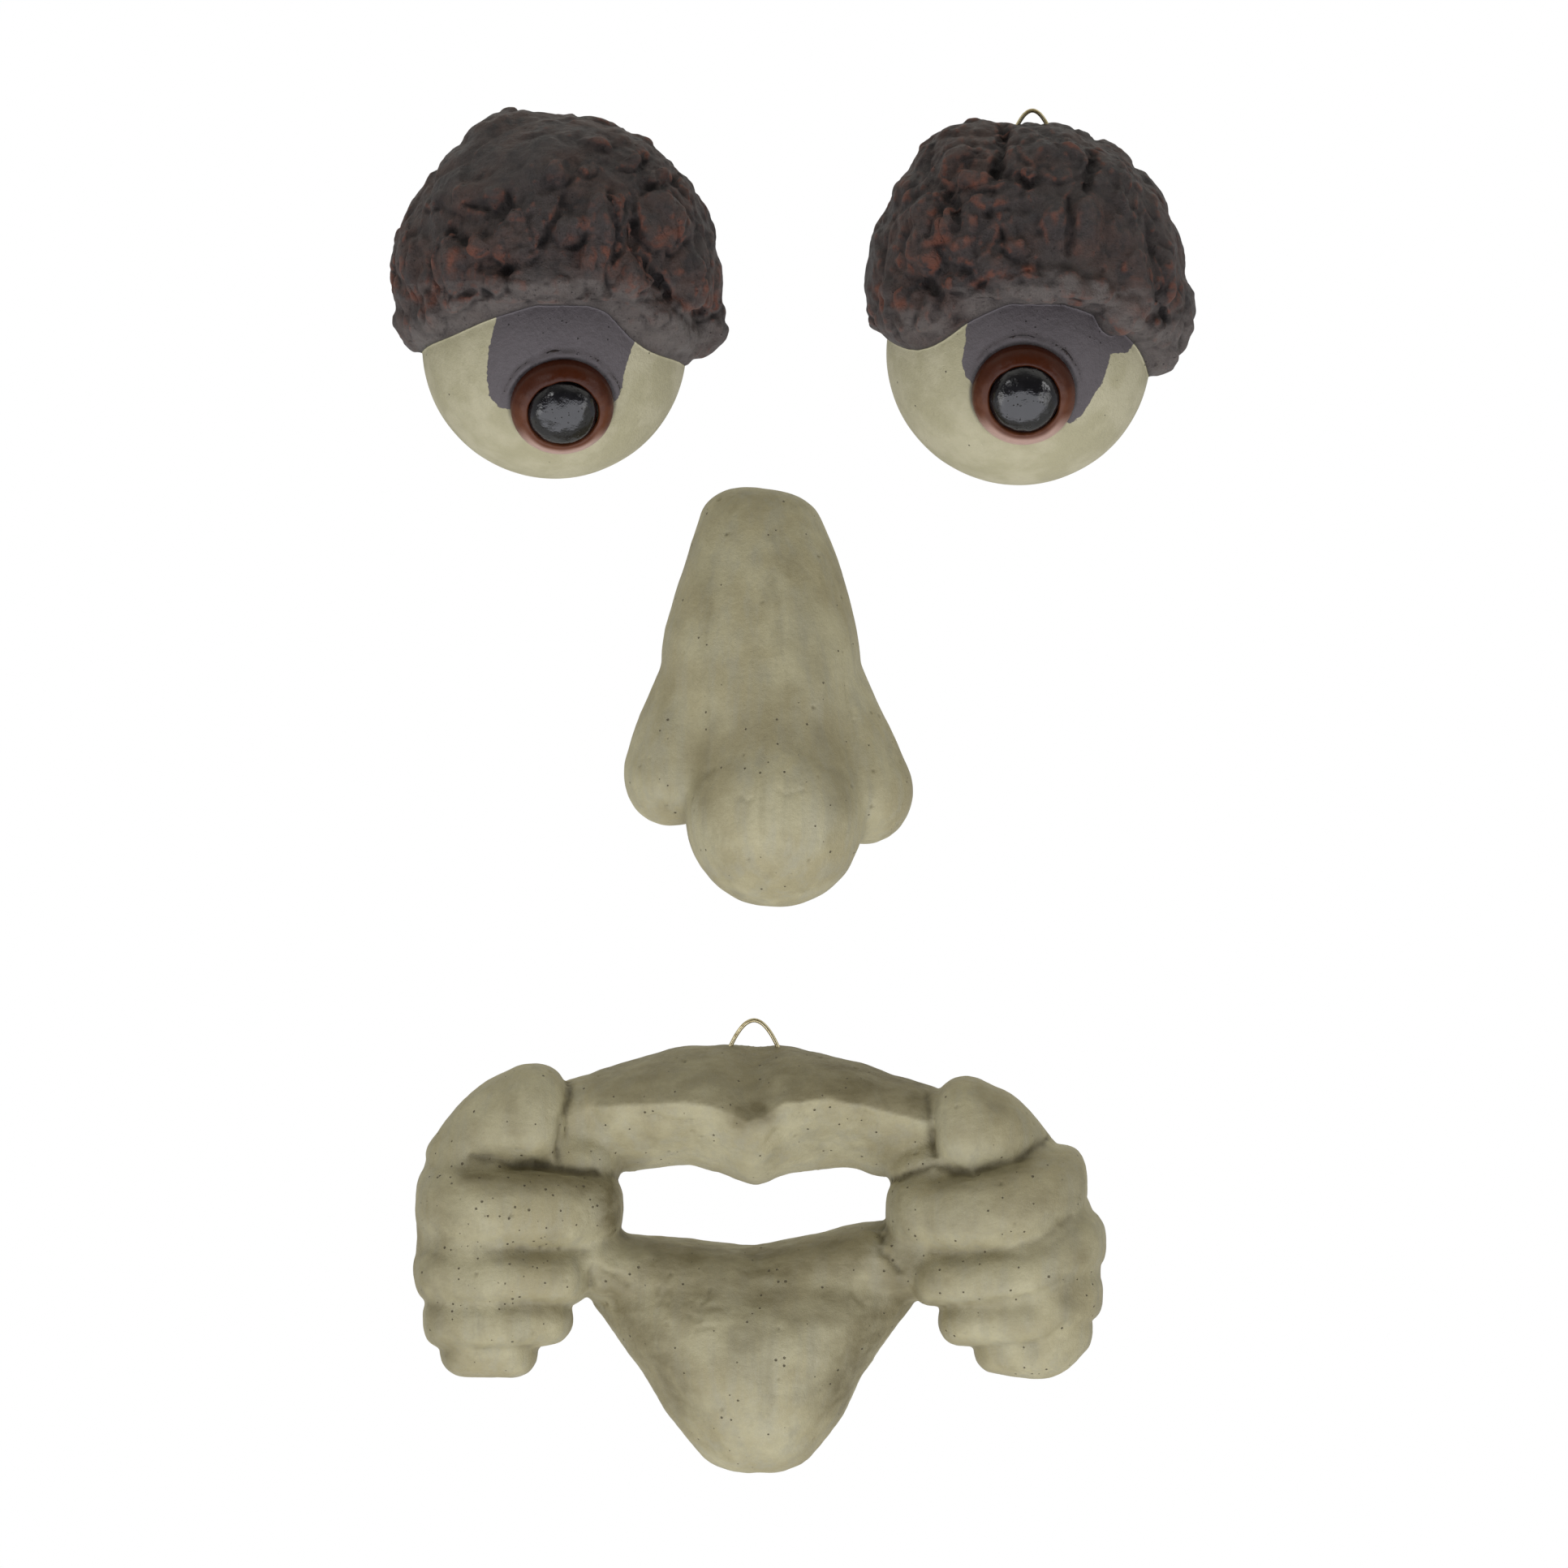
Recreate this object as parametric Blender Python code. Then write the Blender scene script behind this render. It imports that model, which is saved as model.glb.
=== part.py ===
"""A tree face: four cast resin reliefs that hang on a trunk, two eyes under bark brows, a nose and a mouth pulled wide.

The frame is in metres, +Z up, with the face looking along -Y. The plane y = 0 is the trunk, and the flat back of every
casting lies on it. The origin is the middle of the nose's back.

Each casting is laid out in parts of its own size, which are millimetres at the real size. Its forms are lumps, or runs of
lumps, given by a centre (x to the right, out from the trunk, z up) and three half widths. A remesh makes them one body.
"""

import math
from typing import NamedTuple

import bmesh
import bpy
import numpy as np
from mathutils import Matrix, Vector, noise

# Sizes of the castings

EYE_HEIGHT = 0.1145
NOSE_HEIGHT = 0.130
MOUTH_WIDTH = 0.2135
EYE_PARTS = 114.5
NOSE_PARTS = 130.0
MOUTH_PARTS = 213.5

# Places of the castings on the trunk, as x and z from the middle of the nose

LEFT_EYE_PLACE = (-0.06625, 0.1085)
RIGHT_EYE_PLACE = (0.07775, 0.1065)
NOSE_PLACE = (0.0, 0.0)
MOUTH_PLACE = (-0.003, -0.1735)

# Wire hangers

WIRE_DIAMETER = 0.0013
WIRE_GAP = 0.0003
WIRE_FROM_TRUNK = 0.003
LOOP_HEIGHT = 0.0085
LEG_SET_IN = 0.006
RIGHT_EYE_LOOP_HALF_WIDTH = 0.0063
MOUTH_LOOP_HALF_WIDTH = 0.0075

# Middle of each loop's foot, as x and z in its casting's parts

RIGHT_EYE_LOOP_FOOT = (4.25, 66.5)
MOUTH_LOOP_FOOT = (-1.3, 64.5)

# Fineness of the solids, in parts and in faces

VOXEL = 1.3
STEP_SHARE = 0.22
EYE_FACES = 3000
NOSE_FACES = 1000
MOUTH_FACES = 3300
CORNEA_SIDES = 24
WIRE_STEPS = 18
BALL_SPLITS = 4
TOUCHING = 1e-5

# Easing of the creases between forms: the share of each pass, and the passes for each casting

EASING_SHARE = 0.5
EYE_PASSES = 3
BARK_PASSES = 2
NOSE_PASSES = 16
MOUTH_PASSES = 4

# Eyeball, iris and pupil, in parts of the eye, as radius and distance from the middle of the ball. The brow's rim is sunk
# into the ball, and stands out of the trunk by at least a share of its own radius.

EYEBALL_RADIUS = 41.0
RIM_SUNK = 2.0
RIM_LEAST_OUT = 0.45
IRIS_PROFILE = ((15.8, 34.5), (15.8, 39.8), (15.0, 41.8), (13.2, 43.4), (11.4, 43.9), (10.7, 43.0))
PUPIL_PROFILE = ((10.3, 44.6), (8.2, 46.3), (4.6, 47.6), (0.0, 48.0))


class Lump(NamedTuple):
    """A rounded form: its centre, its half widths, its roll in the face's plane, how square it is, and how far its
    foremost point is raised."""

    x: float
    out: float
    z: float
    half_x: float
    half_out: float
    half_z: float
    roll: float = 0.0
    square: float = 2.0
    raised: float = 0.0


# Forms of the nose, in parts of its height

NOSE_BRIDGE = (
    Lump(-2.4, -2.0, 49.6, 19.8, 18.0, 15.0, roll=7.0, square=2.4),
    Lump(-1.9, -1.0, 39.0, 23.5, 22.5, 15.0, square=2.5),
    Lump(-1.9, 0.0, 26.5, 27.7, 26.5, 15.0, square=2.4),
    Lump(-2.3, 1.0, 13.5, 30.8, 30.0, 15.0, square=2.3),
    Lump(-1.0, 2.0, 0.0, 30.0, 33.0, 15.0, square=2.2),
    Lump(1.0, 4.0, -15.0, 29.0, 34.5, 16.0),
    Lump(2.2, 12.0, -29.0, 27.5, 33.0, 20.0),
)
NOSE_BALL = (Lump(2.2, 19.0, -37.0, 27.8, 28.5, 28.3),)
NOSE_LEFT_WING = (
    Lump(-20.0, 0.0, 6.0, 13.6, 20.0, 14.0),
    Lump(-26.4, 3.0, -12.0, 14.8, 21.0, 14.0),
    Lump(-29.5, 5.0, -24.5, 15.4, 21.0, 15.9),
)
NOSE_RIGHT_WING = (
    Lump(16.2, 0.0, 6.0, 13.2, 20.0, 13.0),
    Lump(23.6, 3.0, -13.0, 14.4, 21.0, 14.0),
    Lump(30.0, 5.0, -29.4, 15.2, 21.0, 16.6),
)
NOSE_WING_ROOTS = (
    Lump(-15.0, 4.0, -17.0, 17.0, 24.0, 19.0),
    Lump(16.5, 4.0, -21.0, 17.0, 24.0, 19.0),
)

# Forms of the mouth, in parts of its width: each finger runs from its knuckle to its tip

LEFT_THUMB = (
    Lump(-93.5, 6.0, 30.5, 9.5, 16.0, 10.0),
    Lump(-81.0, 10.0, 40.8, 12.0, 18.0, 12.8, square=2.1),
    Lump(-69.8, 12.0, 44.6, 11.5, 18.0, 15.6, square=2.4),
)
LEFT_FINGERS = (
    (
        Lump(-96.4, 6.0, 16.5, 9.8, 22.0, 13.9, square=2.5),
        Lump(-84.0, 11.0, 15.6, 11.0, 23.0, 13.6, square=2.5),
        Lump(-64.0, 11.0, 15.2, 11.0, 21.5, 13.3, square=2.5),
        Lump(-51.0, 7.0, 15.0, 9.3, 19.0, 12.6, square=2.3),
    ),
    (
        Lump(-97.0, 6.0, -4.8, 9.6, 22.0, 10.3, square=2.5),
        Lump(-79.0, 10.0, -5.2, 11.0, 22.0, 10.2, square=2.5),
        Lump(-60.5, 8.0, -5.4, 9.0, 20.5, 9.9, square=2.3),
    ),
    (
        Lump(-94.8, 5.0, -19.6, 8.9, 19.5, 9.2, square=2.5),
        Lump(-79.0, 9.0, -19.9, 10.0, 20.0, 8.9, square=2.5),
        Lump(-66.0, 7.0, -18.8, 8.8, 18.0, 8.2, square=2.3),
    ),
    (
        Lump(-89.5, 4.0, -29.0, 9.0, 16.5, 8.4, square=2.3),
        Lump(-76.8, 6.0, -29.6, 8.4, 15.5, 8.0, square=2.3),
    ),
)
LEFT_PALM = (
    Lump(-82.0, 0.0, 38.0, 14.0, 15.0, 10.0),
    Lump(-84.5, 3.0, 25.0, 19.5, 21.5, 13.0, square=2.2),
    Lump(-84.5, 4.0, 6.0, 21.4, 24.5, 14.0, square=2.4),
    Lump(-83.5, 3.0, -10.0, 20.4, 23.0, 12.0, square=2.4),
    Lump(-82.5, 1.0, -23.0, 17.0, 17.0, 10.5, square=2.2),
)
RIGHT_THUMB = (
    Lump(83.5, 6.0, 33.0, 8.2, 15.0, 7.6),
    Lump(74.0, 10.0, 39.2, 10.2, 17.5, 11.7, square=2.2),
    Lump(64.4, 12.0, 41.0, 10.8, 18.0, 15.0, square=2.4),
)
RIGHT_FINGERS = (
    (
        Lump(93.2, 6.0, 22.0, 8.8, 21.0, 12.6, square=2.4),
        Lump(82.0, 11.0, 17.8, 11.0, 23.0, 14.2, square=2.5),
        Lump(64.0, 11.0, 14.2, 11.0, 21.5, 13.6, square=2.5),
        Lump(48.8, 7.0, 14.2, 9.3, 19.0, 12.2, square=2.3),
    ),
    (
        Lump(98.4, 6.0, 4.6, 9.0, 20.5, 10.4, square=2.5),
        Lump(86.0, 10.0, -3.0, 10.0, 22.0, 10.3, square=2.5),
        Lump(70.0, 10.0, -6.2, 10.0, 21.5, 10.0, square=2.5),
        Lump(55.0, 8.0, -6.2, 8.6, 19.5, 9.2, square=2.3),
    ),
    (
        Lump(98.0, 5.0, -11.8, 8.6, 18.5, 9.2, square=2.5),
        Lump(83.0, 9.0, -18.2, 10.0, 20.0, 9.1, square=2.5),
        Lump(64.0, 7.0, -19.6, 8.4, 18.0, 8.2, square=2.3),
    ),
    (
        Lump(95.6, 4.0, -23.2, 8.2, 16.0, 8.2, square=2.3),
        Lump(88.0, 6.0, -28.4, 8.6, 16.5, 9.2, square=2.3),
        Lump(75.6, 5.0, -29.2, 8.8, 15.0, 7.2, square=2.3),
    ),
)
RIGHT_PALM = (
    Lump(76.5, 0.0, 36.0, 12.0, 15.0, 10.0),
    Lump(80.5, 3.0, 23.0, 18.0, 21.5, 12.6, square=2.1),
    Lump(84.5, 4.0, 6.0, 20.6, 24.5, 14.0, square=2.4),
    Lump(84.8, 3.0, -9.0, 20.6, 23.0, 12.0, square=2.4),
    Lump(83.5, 1.0, -22.0, 17.0, 17.0, 10.5, square=2.2),
)
MOUTH_CORNERS = (
    Lump(-58.0, 2.0, 29.0, 16.0, 20.0, 13.0),
    Lump(56.0, 2.0, 27.0, 16.0, 20.0, 12.0),
    Lump(-52.0, 2.0, 0.0, 14.0, 20.0, 12.0),
    Lump(50.5, 2.0, 1.5, 14.5, 20.0, 12.0),
)
UPPER_LIP = (
    Lump(-57.0, 0.0, 40.9, 9.0, 20.0, 13.9, square=1.7, raised=5.0),
    Lump(-39.8, 0.0, 43.0, 9.0, 24.0, 17.4, square=1.6, raised=4.6),
    Lump(-23.5, 0.0, 46.6, 9.0, 26.5, 18.6, square=1.6, raised=1.5),
    Lump(-12.3, 0.0, 45.3, 8.0, 28.0, 20.0, square=1.55, raised=2.4),
    Lump(-1.0, 0.0, 43.6, 7.0, 25.5, 21.6, square=1.6, raised=-2.5),
    Lump(10.5, 0.0, 45.0, 8.0, 28.0, 19.8, square=1.55, raised=4.0),
    Lump(27.8, 0.0, 43.9, 9.0, 26.5, 16.9, square=1.6, raised=5.6),
    Lump(39.0, 0.0, 40.5, 9.0, 24.0, 16.2, square=1.6, raised=6.5),
    Lump(53.0, 0.0, 38.9, 9.0, 20.0, 13.4, square=1.7, raised=6.5),
)
LOWER_LIP = (
    Lump(-48.5, 2.0, -3.5, 8.0, 19.0, 11.0),
    Lump(-38.0, 1.0, -5.0, 9.0, 19.5, 11.8),
    Lump(-20.0, 1.0, -6.6, 9.0, 21.0, 11.6),
    Lump(-1.0, 1.0, -8.6, 9.0, 20.5, 12.0),
    Lump(19.0, 1.0, -4.8, 9.0, 21.0, 12.0),
    Lump(36.0, 1.0, -1.6, 9.0, 20.0, 12.4),
    Lump(46.5, 2.0, -2.0, 8.0, 19.0, 12.8),
)
TONGUE_LEFT = (
    Lump(-13.5, 0.0, -14.0, 38.0, 24.5, 10.0),
    Lump(-12.0, 1.0, -22.0, 33.0, 27.5, 12.0),
    Lump(-9.0, 1.0, -34.0, 27.3, 28.5, 12.0),
    Lump(-5.0, 0.0, -46.0, 23.9, 26.5, 12.0),
    Lump(-3.2, -1.0, -56.0, 16.6, 21.0, 11.4),
)
TONGUE_RIGHT = (
    Lump(10.5, 0.0, -14.0, 38.0, 24.5, 10.0),
    Lump(9.0, 1.0, -22.0, 33.0, 27.5, 12.0),
    Lump(6.0, 1.0, -34.0, 27.3, 28.5, 12.0),
    Lump(3.6, 0.0, -46.0, 24.2, 26.5, 12.0),
    Lump(2.4, -1.0, -56.0, 16.8, 21.0, 11.4),
)


class BrowRim(NamedTuple):
    """A place on a brow's lower rim: x and z of its lower edge, and the radius of the rim there."""

    x: float
    z: float
    radius: float


class Plate(NamedTuple):
    """A plate of bark on a brow: where it lies, its half widths, how far it stands out and its roll."""

    x: float
    z: float
    half_x: float
    half_z: float
    rise: float
    roll: float = 0.0


class Eye(NamedTuple):
    """What tells one eye from the other, in parts of the eye."""

    brow: Lump
    brow_cut: float
    rim: tuple
    shoulders: tuple
    plates: tuple
    gaze_right: float
    gaze_down: float
    bark_seed: float


LEFT_EYE = Eye(
    brow=Lump(1.0, 0.0, 21.0, 51.4, 46.5, 52.0),
    brow_cut=9.0,
    rim=(
        BrowRim(-42.0, -2.0, 8.6),
        BrowRim(-30.0, 0.4, 11.5),
        BrowRim(-15.0, 5.8, 12.0),
        BrowRim(2.0, 9.4, 12.0),
        BrowRim(19.0, 5.6, 12.0),
        BrowRim(29.5, -3.6, 12.0),
        BrowRim(38.5, -6.4, 10.0),
        BrowRim(46.2, -1.4, 8.6),
    ),
    shoulders=(
        Lump(-32.0, 0.0, 27.0, 19.0, 30.0, 20.0),
        Lump(-13.5, 0.0, 54.0, 18.5, 22.0, 20.4),
    ),
    plates=(
        Plate(34.8, 38.2, 8.5, 11.0, 3.4, 8.0),
        Plate(43.5, 19.5, 8.5, 11.5, 2.6),
        Plate(-30.0, 22.5, 9.0, 12.5, 3.0, -10.0),
        Plate(-44.0, 23.5, 6.5, 12.0, 1.8),
        Plate(14.5, 31.0, 4.5, 15.0, 2.6, 6.0),
        Plate(-11.0, 31.0, 8.5, 8.0, 2.2),
        Plate(1.0, 51.0, 4.0, 4.0, 1.8),
        Plate(-24.0, 45.0, 10.0, 7.0, 1.8),
        Plate(24.0, 22.0, 7.0, 9.0, 2.4),
        Plate(-2.0, 19.0, 12.0, 6.0, 2.0),
    ),
    gaze_right=5.6,
    gaze_down=31.0,
    bark_seed=3.7,
)
RIGHT_EYE = Eye(
    brow=Lump(2.4, 0.0, 21.5, 50.4, 46.5, 50.8),
    brow_cut=11.0,
    rim=(
        BrowRim(-40.0, 5.0, 8.6),
        BrowRim(-29.0, -1.0, 10.5),
        BrowRim(-17.0, 5.6, 11.5),
        BrowRim(2.0, 11.8, 12.0),
        BrowRim(18.0, 8.6, 12.5),
        BrowRim(30.0, 3.0, 12.0),
        BrowRim(40.0, -7.4, 10.6),
        BrowRim(45.0, -1.0, 8.6),
    ),
    shoulders=(
        Lump(-14.0, 0.0, 52.0, 20.5, 26.0, 20.8),
        Lump(36.0, 0.0, 14.0, 20.2, 26.0, 18.4),
    ),
    plates=(
        Plate(-17.0, 36.0, 10.5, 10.0, 2.4, -12.0),
        Plate(-32.0, 30.0, 7.5, 9.0, 2.4),
        Plate(-39.0, 14.0, 8.0, 8.5, 2.6),
        Plate(-18.0, 58.0, 9.5, 9.0, 2.6),
        Plate(10.0, 60.0, 10.0, 9.0, 2.2),
        Plate(30.0, 52.0, 8.0, 9.5, 1.8, 15.0),
        Plate(34.0, 16.0, 9.5, 13.0, 3.4),
        Plate(6.0, 19.0, 13.0, 6.5, 2.6),
        Plate(-8.0, 24.0, 9.0, 5.5, 2.2, 20.0),
        Plate(46.0, 23.0, 6.5, 12.0, 1.6),
        Plate(-35.5, 51.0, 6.0, 6.0, 1.6),
    ),
    gaze_right=1.0,
    gaze_down=22.0,
    bark_seed=11.2,
)

# Bark of the brows, in parts

NOISE_SEED = 1
PLATE_THICKNESS = 6.0
CRACK_SPACING = 14.0
CRACK_STRETCH = 1.5
CRACK_SHARE = 0.4
CRACK_DEPTH = 2.6
CRACK_WANDER = 0.25
CRACK_WANDER_PITCH = 1.7
WRINKLE_SIZE = 8.0
WRINKLE_RISE = 1.0
WRINKLE_FALL = 0.8
WRINKLE_STEP = 2.0
WRINKLE_LAYERS = 3
BARK_START = 0.8
BARK_FULL = 3.0
CORNEA_CLEAR = 0.88


def clear_scene():
    """Removes every object of the scene."""
    for obj in list(bpy.data.objects):
        bpy.data.objects.remove(obj)


def material(name, colour, roughness, metallic=0.0):
    """A plain finish."""
    made = bpy.data.materials.new(name)
    made.use_nodes = True
    shader = made.node_tree.nodes["Principled BSDF"]
    shader.inputs["Base Color"].default_value = (*colour, 1.0)
    shader.inputs["Roughness"].default_value = roughness
    shader.inputs["Metallic"].default_value = metallic
    return made


def unit_ball():
    """Vertices and triangles of a ball of radius 1, as arrays."""
    bm = bmesh.new()
    bmesh.ops.create_icosphere(bm, subdivisions=BALL_SPLITS, radius=1.0)
    points = np.array([v.co[:] for v in bm.verts])
    faces = np.array([[v.index for v in f.verts] for f in bm.faces])
    bm.free()
    return points, faces


def blend_stations(stations, share):
    """The station at a share of the way along a run, on a smooth curve through all of its stations."""
    table = np.array(stations)
    along = share * (len(table) - 1)
    at = min(int(along), len(table) - 2)
    t = along - at
    before, start, end, after = (table[np.clip(at + k, 0, len(table) - 1)] for k in (-1, 0, 1, 2))
    tangent_in, tangent_out = (end - before) / 2, (after - start) / 2
    return Lump(
        *(
            start * (2 * t**3 - 3 * t**2 + 1)
            + tangent_in * (t**3 - 2 * t**2 + t)
            + end * (3 * t**2 - 2 * t**3)
            + tangent_out * (t**3 - t**2)
        )
    )


def run(stations):
    """The lumps of a run, close enough together to read as one limb."""
    if len(stations) == 1:
        return [stations[0]]
    places = np.array([(s.x, s.out, s.z) for s in stations])
    length = np.linalg.norm(np.diff(places, axis=0), axis=1).sum()
    thinnest = min(min(s.half_x, s.half_z) for s in stations)
    count = max(2, math.ceil(length / (thinnest * STEP_SHARE)))
    return [blend_stations(stations, k / count) for k in range(count + 1)]


def lump_points(lump, ball):
    """The unit ball's points, shaped and placed as a lump, with y pointing into the trunk."""
    points = ball / (np.abs(ball) ** lump.square).sum(axis=1, keepdims=True) ** (1 / lump.square)
    raised = lump.raised * np.maximum(-points[:, 1], 0)
    points = points * (lump.half_x, lump.half_out, lump.half_z)
    points[:, 2] += raised
    turn = math.radians(lump.roll)
    x = points[:, 0] * math.cos(turn) + points[:, 2] * math.sin(turn)
    z = points[:, 2] * math.cos(turn) - points[:, 0] * math.sin(turn)
    return np.column_stack((x + lump.x, points[:, 1] - lump.out, z + lump.z))


def lumps_mesh(lumps):
    """One mesh that holds every lump as its own closed shell."""
    ball, faces = unit_ball()
    points = [lump_points(lump, ball) for lump in lumps]
    triangles = [faces + k * len(ball) for k in range(len(points))]
    mesh = bpy.data.meshes.new("lumps")
    mesh.from_pydata(np.concatenate(points).tolist(), [], np.concatenate(triangles).tolist())
    return mesh


def evaluated(mesh, *modifiers):
    """A mesh with modifiers applied, each given by its type and its settings."""
    obj = bpy.data.objects.new("work", mesh)
    bpy.context.scene.collection.objects.link(obj)
    for kind, settings in modifiers:
        modifier = obj.modifiers.new(kind, kind)
        for key, value in settings.items():
            setattr(modifier, key, value)
    graph = bpy.context.evaluated_depsgraph_get()
    result = bpy.data.meshes.new_from_object(obj.evaluated_get(graph))
    bpy.data.objects.remove(obj)
    return result


def fused(mesh, passes):
    """The mesh's shells as one body, with the creases between them eased."""
    return evaluated(
        mesh,
        ("REMESH", {"mode": "VOXEL", "voxel_size": VOXEL}),
        ("SMOOTH", {"factor": EASING_SHARE, "iterations": passes}),
    )


def joined(*meshes):
    """Several meshes as one mesh, with their shells kept apart."""
    bm = bmesh.new()
    for mesh in meshes:
        bm.from_mesh(mesh)
    result = bpy.data.meshes.new("joined")
    bm.to_mesh(result)
    bm.free()
    return result


def cut_flat(mesh, place, normal):
    """The mesh with all that lies past a plane cut off, and the cut closed with one flat face."""
    bm = bmesh.new()
    bm.from_mesh(mesh)
    bmesh.ops.bisect_plane(
        bm,
        geom=bm.verts[:] + bm.edges[:] + bm.faces[:],
        dist=TOUCHING,
        plane_co=place,
        plane_no=normal,
        clear_outer=True,
    )
    rim = [edge for edge in bm.edges if edge.is_boundary]
    bmesh.ops.triangle_fill(bm, edges=rim, use_beauty=True, use_dissolve=False)
    bmesh.ops.recalc_face_normals(bm, faces=bm.faces)
    result = bpy.data.meshes.new("cut")
    bm.to_mesh(result)
    bm.free()
    return result


def thinned(mesh, faces):
    """The mesh with about that many triangles."""
    return evaluated(
        mesh,
        ("TRIANGULATE", {}),
        ("DECIMATE", {"ratio": min(1.0, faces / (2 * len(mesh.polygons)))}),
    )


def gaze(eye):
    """The way an eye looks, as a unit vector."""
    right, down = math.radians(eye.gaze_right), math.radians(eye.gaze_down)
    return Vector((math.sin(right) * math.cos(down), -math.cos(right) * math.cos(down), -math.sin(down)))


def cornea_mesh(eye):
    """The iris and the pupil as one turned solid that looks the eye's way."""
    bm = bmesh.new()
    profile = (0.0, IRIS_PROFILE[0][1]), *IRIS_PROFILE, *PUPIL_PROFILE
    points = [bm.verts.new((radius, 0.0, along)) for radius, along in profile]
    edges = [bm.edges.new(pair) for pair in zip(points, points[1:])]
    bmesh.ops.spin(
        bm,
        geom=points + edges,
        axis=(0, 0, 1),
        cent=(0, 0, 0),
        steps=CORNEA_SIDES,
        angle=2 * math.pi,
        use_merge=True,
    )
    bmesh.ops.remove_doubles(bm, verts=bm.verts, dist=TOUCHING)
    bmesh.ops.recalc_face_normals(bm, faces=bm.faces)
    turn = Vector((0, 0, 1)).rotation_difference(gaze(eye)).to_matrix()
    bmesh.ops.rotate(bm, verts=bm.verts, cent=(0, 0, 0), matrix=turn)
    mesh = bpy.data.meshes.new("cornea")
    bm.to_mesh(mesh)
    bm.free()
    return mesh


def plate_lump(plate, brow):
    """A plate as a lump that stands out of the brow's even surface by the plate's rise."""
    across = (plate.x - brow.x) / brow.half_x
    up = (plate.z - brow.z) / brow.half_z
    out = math.sqrt(max(1 - across**2 - up**2, 0.0))
    normal = Vector((across / brow.half_x, out / brow.half_out, up / brow.half_z)).normalized()
    depth = Vector((plate.half_x * normal.x, PLATE_THICKNESS * normal.y, plate.half_z * normal.z)).length
    place = Vector((plate.x, brow.out + out * brow.half_out, plate.z)) + normal * (plate.rise - depth)
    return Lump(*place, plate.half_x, PLATE_THICKNESS, plate.half_z, roll=plate.roll)


def rim_lump(station):
    """A place on the brow's rim as a ball that rests on the eyeball, or on the trunk beside it."""
    z = station.z + station.radius
    reach = (EYEBALL_RADIUS - RIM_SUNK) ** 2 - station.x**2 - z**2
    out = math.sqrt(max(reach, (RIM_LEAST_OUT * station.radius) ** 2))
    return Lump(station.x, out, z, station.radius, station.radius, station.radius)


def step_between(low, high, value):
    """0 up to low and 1 from high, with a smooth rise between them."""
    t = min(1.0, max(0.0, (value - low) / (high - low)))
    return t * t * (3 - 2 * t)


def bark_rise(place, seed):
    """How far the bark stands above the brow's even surface at a place, less at its cracks."""
    at = Vector((place.x, place.y, place.z / CRACK_STRETCH)) / CRACK_SPACING + Vector((seed, seed, seed))
    at += noise.noise_vector(at * CRACK_WANDER_PITCH) * CRACK_WANDER
    nearest = noise.voronoi(at)[0]
    crack = 1 - step_between(0.0, CRACK_SHARE, nearest[1] - nearest[0])
    wrinkle = noise.fractal(place / WRINKLE_SIZE + Vector((seed, 0, 0)), WRINKLE_FALL, WRINKLE_STEP, WRINKLE_LAYERS)
    return WRINKLE_RISE * wrinkle - CRACK_DEPTH * crack


def weather_brow(mesh, eye):
    """Raises and sinks the brow's surface as bark, and leaves the eyeball smooth."""
    noise.seed_set(NOISE_SEED)
    normals = [v.normal.copy() for v in mesh.vertices]
    look = gaze(eye)
    for vertex, normal in zip(mesh.vertices, normals):
        place = vertex.co.copy()
        on_brow = step_between(BARK_START, BARK_FULL, place.length - EYEBALL_RADIUS)
        if on_brow and place.normalized().dot(look) < CORNEA_CLEAR:
            vertex.co = place + normal * bark_rise(place, eye.bark_seed) * on_brow


def eye_mesh(eye):
    """An eye's casting, in parts: the ball and the brow that hoods it."""
    dome = cut_flat(lumps_mesh([eye.brow]), (0, 0, eye.brow_cut), (0, 0, -1))
    rim = run([rim_lump(station) for station in eye.rim])
    plates = [plate_lump(plate, eye.brow) for plate in eye.plates]
    ball = Lump(0, 0, 0, EYEBALL_RADIUS, EYEBALL_RADIUS, EYEBALL_RADIUS)
    mesh = fused(joined(dome, lumps_mesh([*rim, *eye.shoulders, *plates, ball])), EYE_PASSES)
    weather_brow(mesh, eye)
    return evaluated(mesh, ("SMOOTH", {"factor": EASING_SHARE, "iterations": BARK_PASSES}))


def nose_mesh():
    """The nose's casting, in parts: a broad bridge, a ball at its tip and a wing on each side."""
    forms = NOSE_BRIDGE, NOSE_BALL, NOSE_LEFT_WING, NOSE_RIGHT_WING
    return fused(lumps_mesh([lump for form in forms for lump in run(form)] + list(NOSE_WING_ROOTS)), NOSE_PASSES)


def mouth_mesh():
    """The mouth's casting, in parts: lips and tongue between two fists that pull the corners out."""
    lips = UPPER_LIP, LOWER_LIP, TONGUE_LEFT, TONGUE_RIGHT
    hands = LEFT_THUMB, *LEFT_FINGERS, LEFT_PALM, RIGHT_THUMB, *RIGHT_FINGERS, RIGHT_PALM
    lumps = [lump for form in (*lips, *hands) for lump in run(form)]
    return fused(lumps_mesh(lumps + list(MOUTH_CORNERS)), MOUTH_PASSES)


def add_casting(name, mesh, unit, place, faces, finish):
    """A casting as an object: thinned, cut flat at the trunk, brought from parts to metres and set in its place."""
    mesh = cut_flat(thinned(mesh, faces), (0, 0, 0), (0, 1, 0))
    mesh.transform(Matrix.Scale(unit, 4))
    mesh.shade_smooth()
    mesh.name = name
    mesh.materials.append(finish)
    return add_object(name, mesh, (place[0], 0.0, place[1]))


def add_object(name, data, place):
    """An object in the scene."""
    obj = bpy.data.objects.new(name, data)
    obj.location = place
    bpy.context.scene.collection.objects.link(obj)
    return obj


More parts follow.
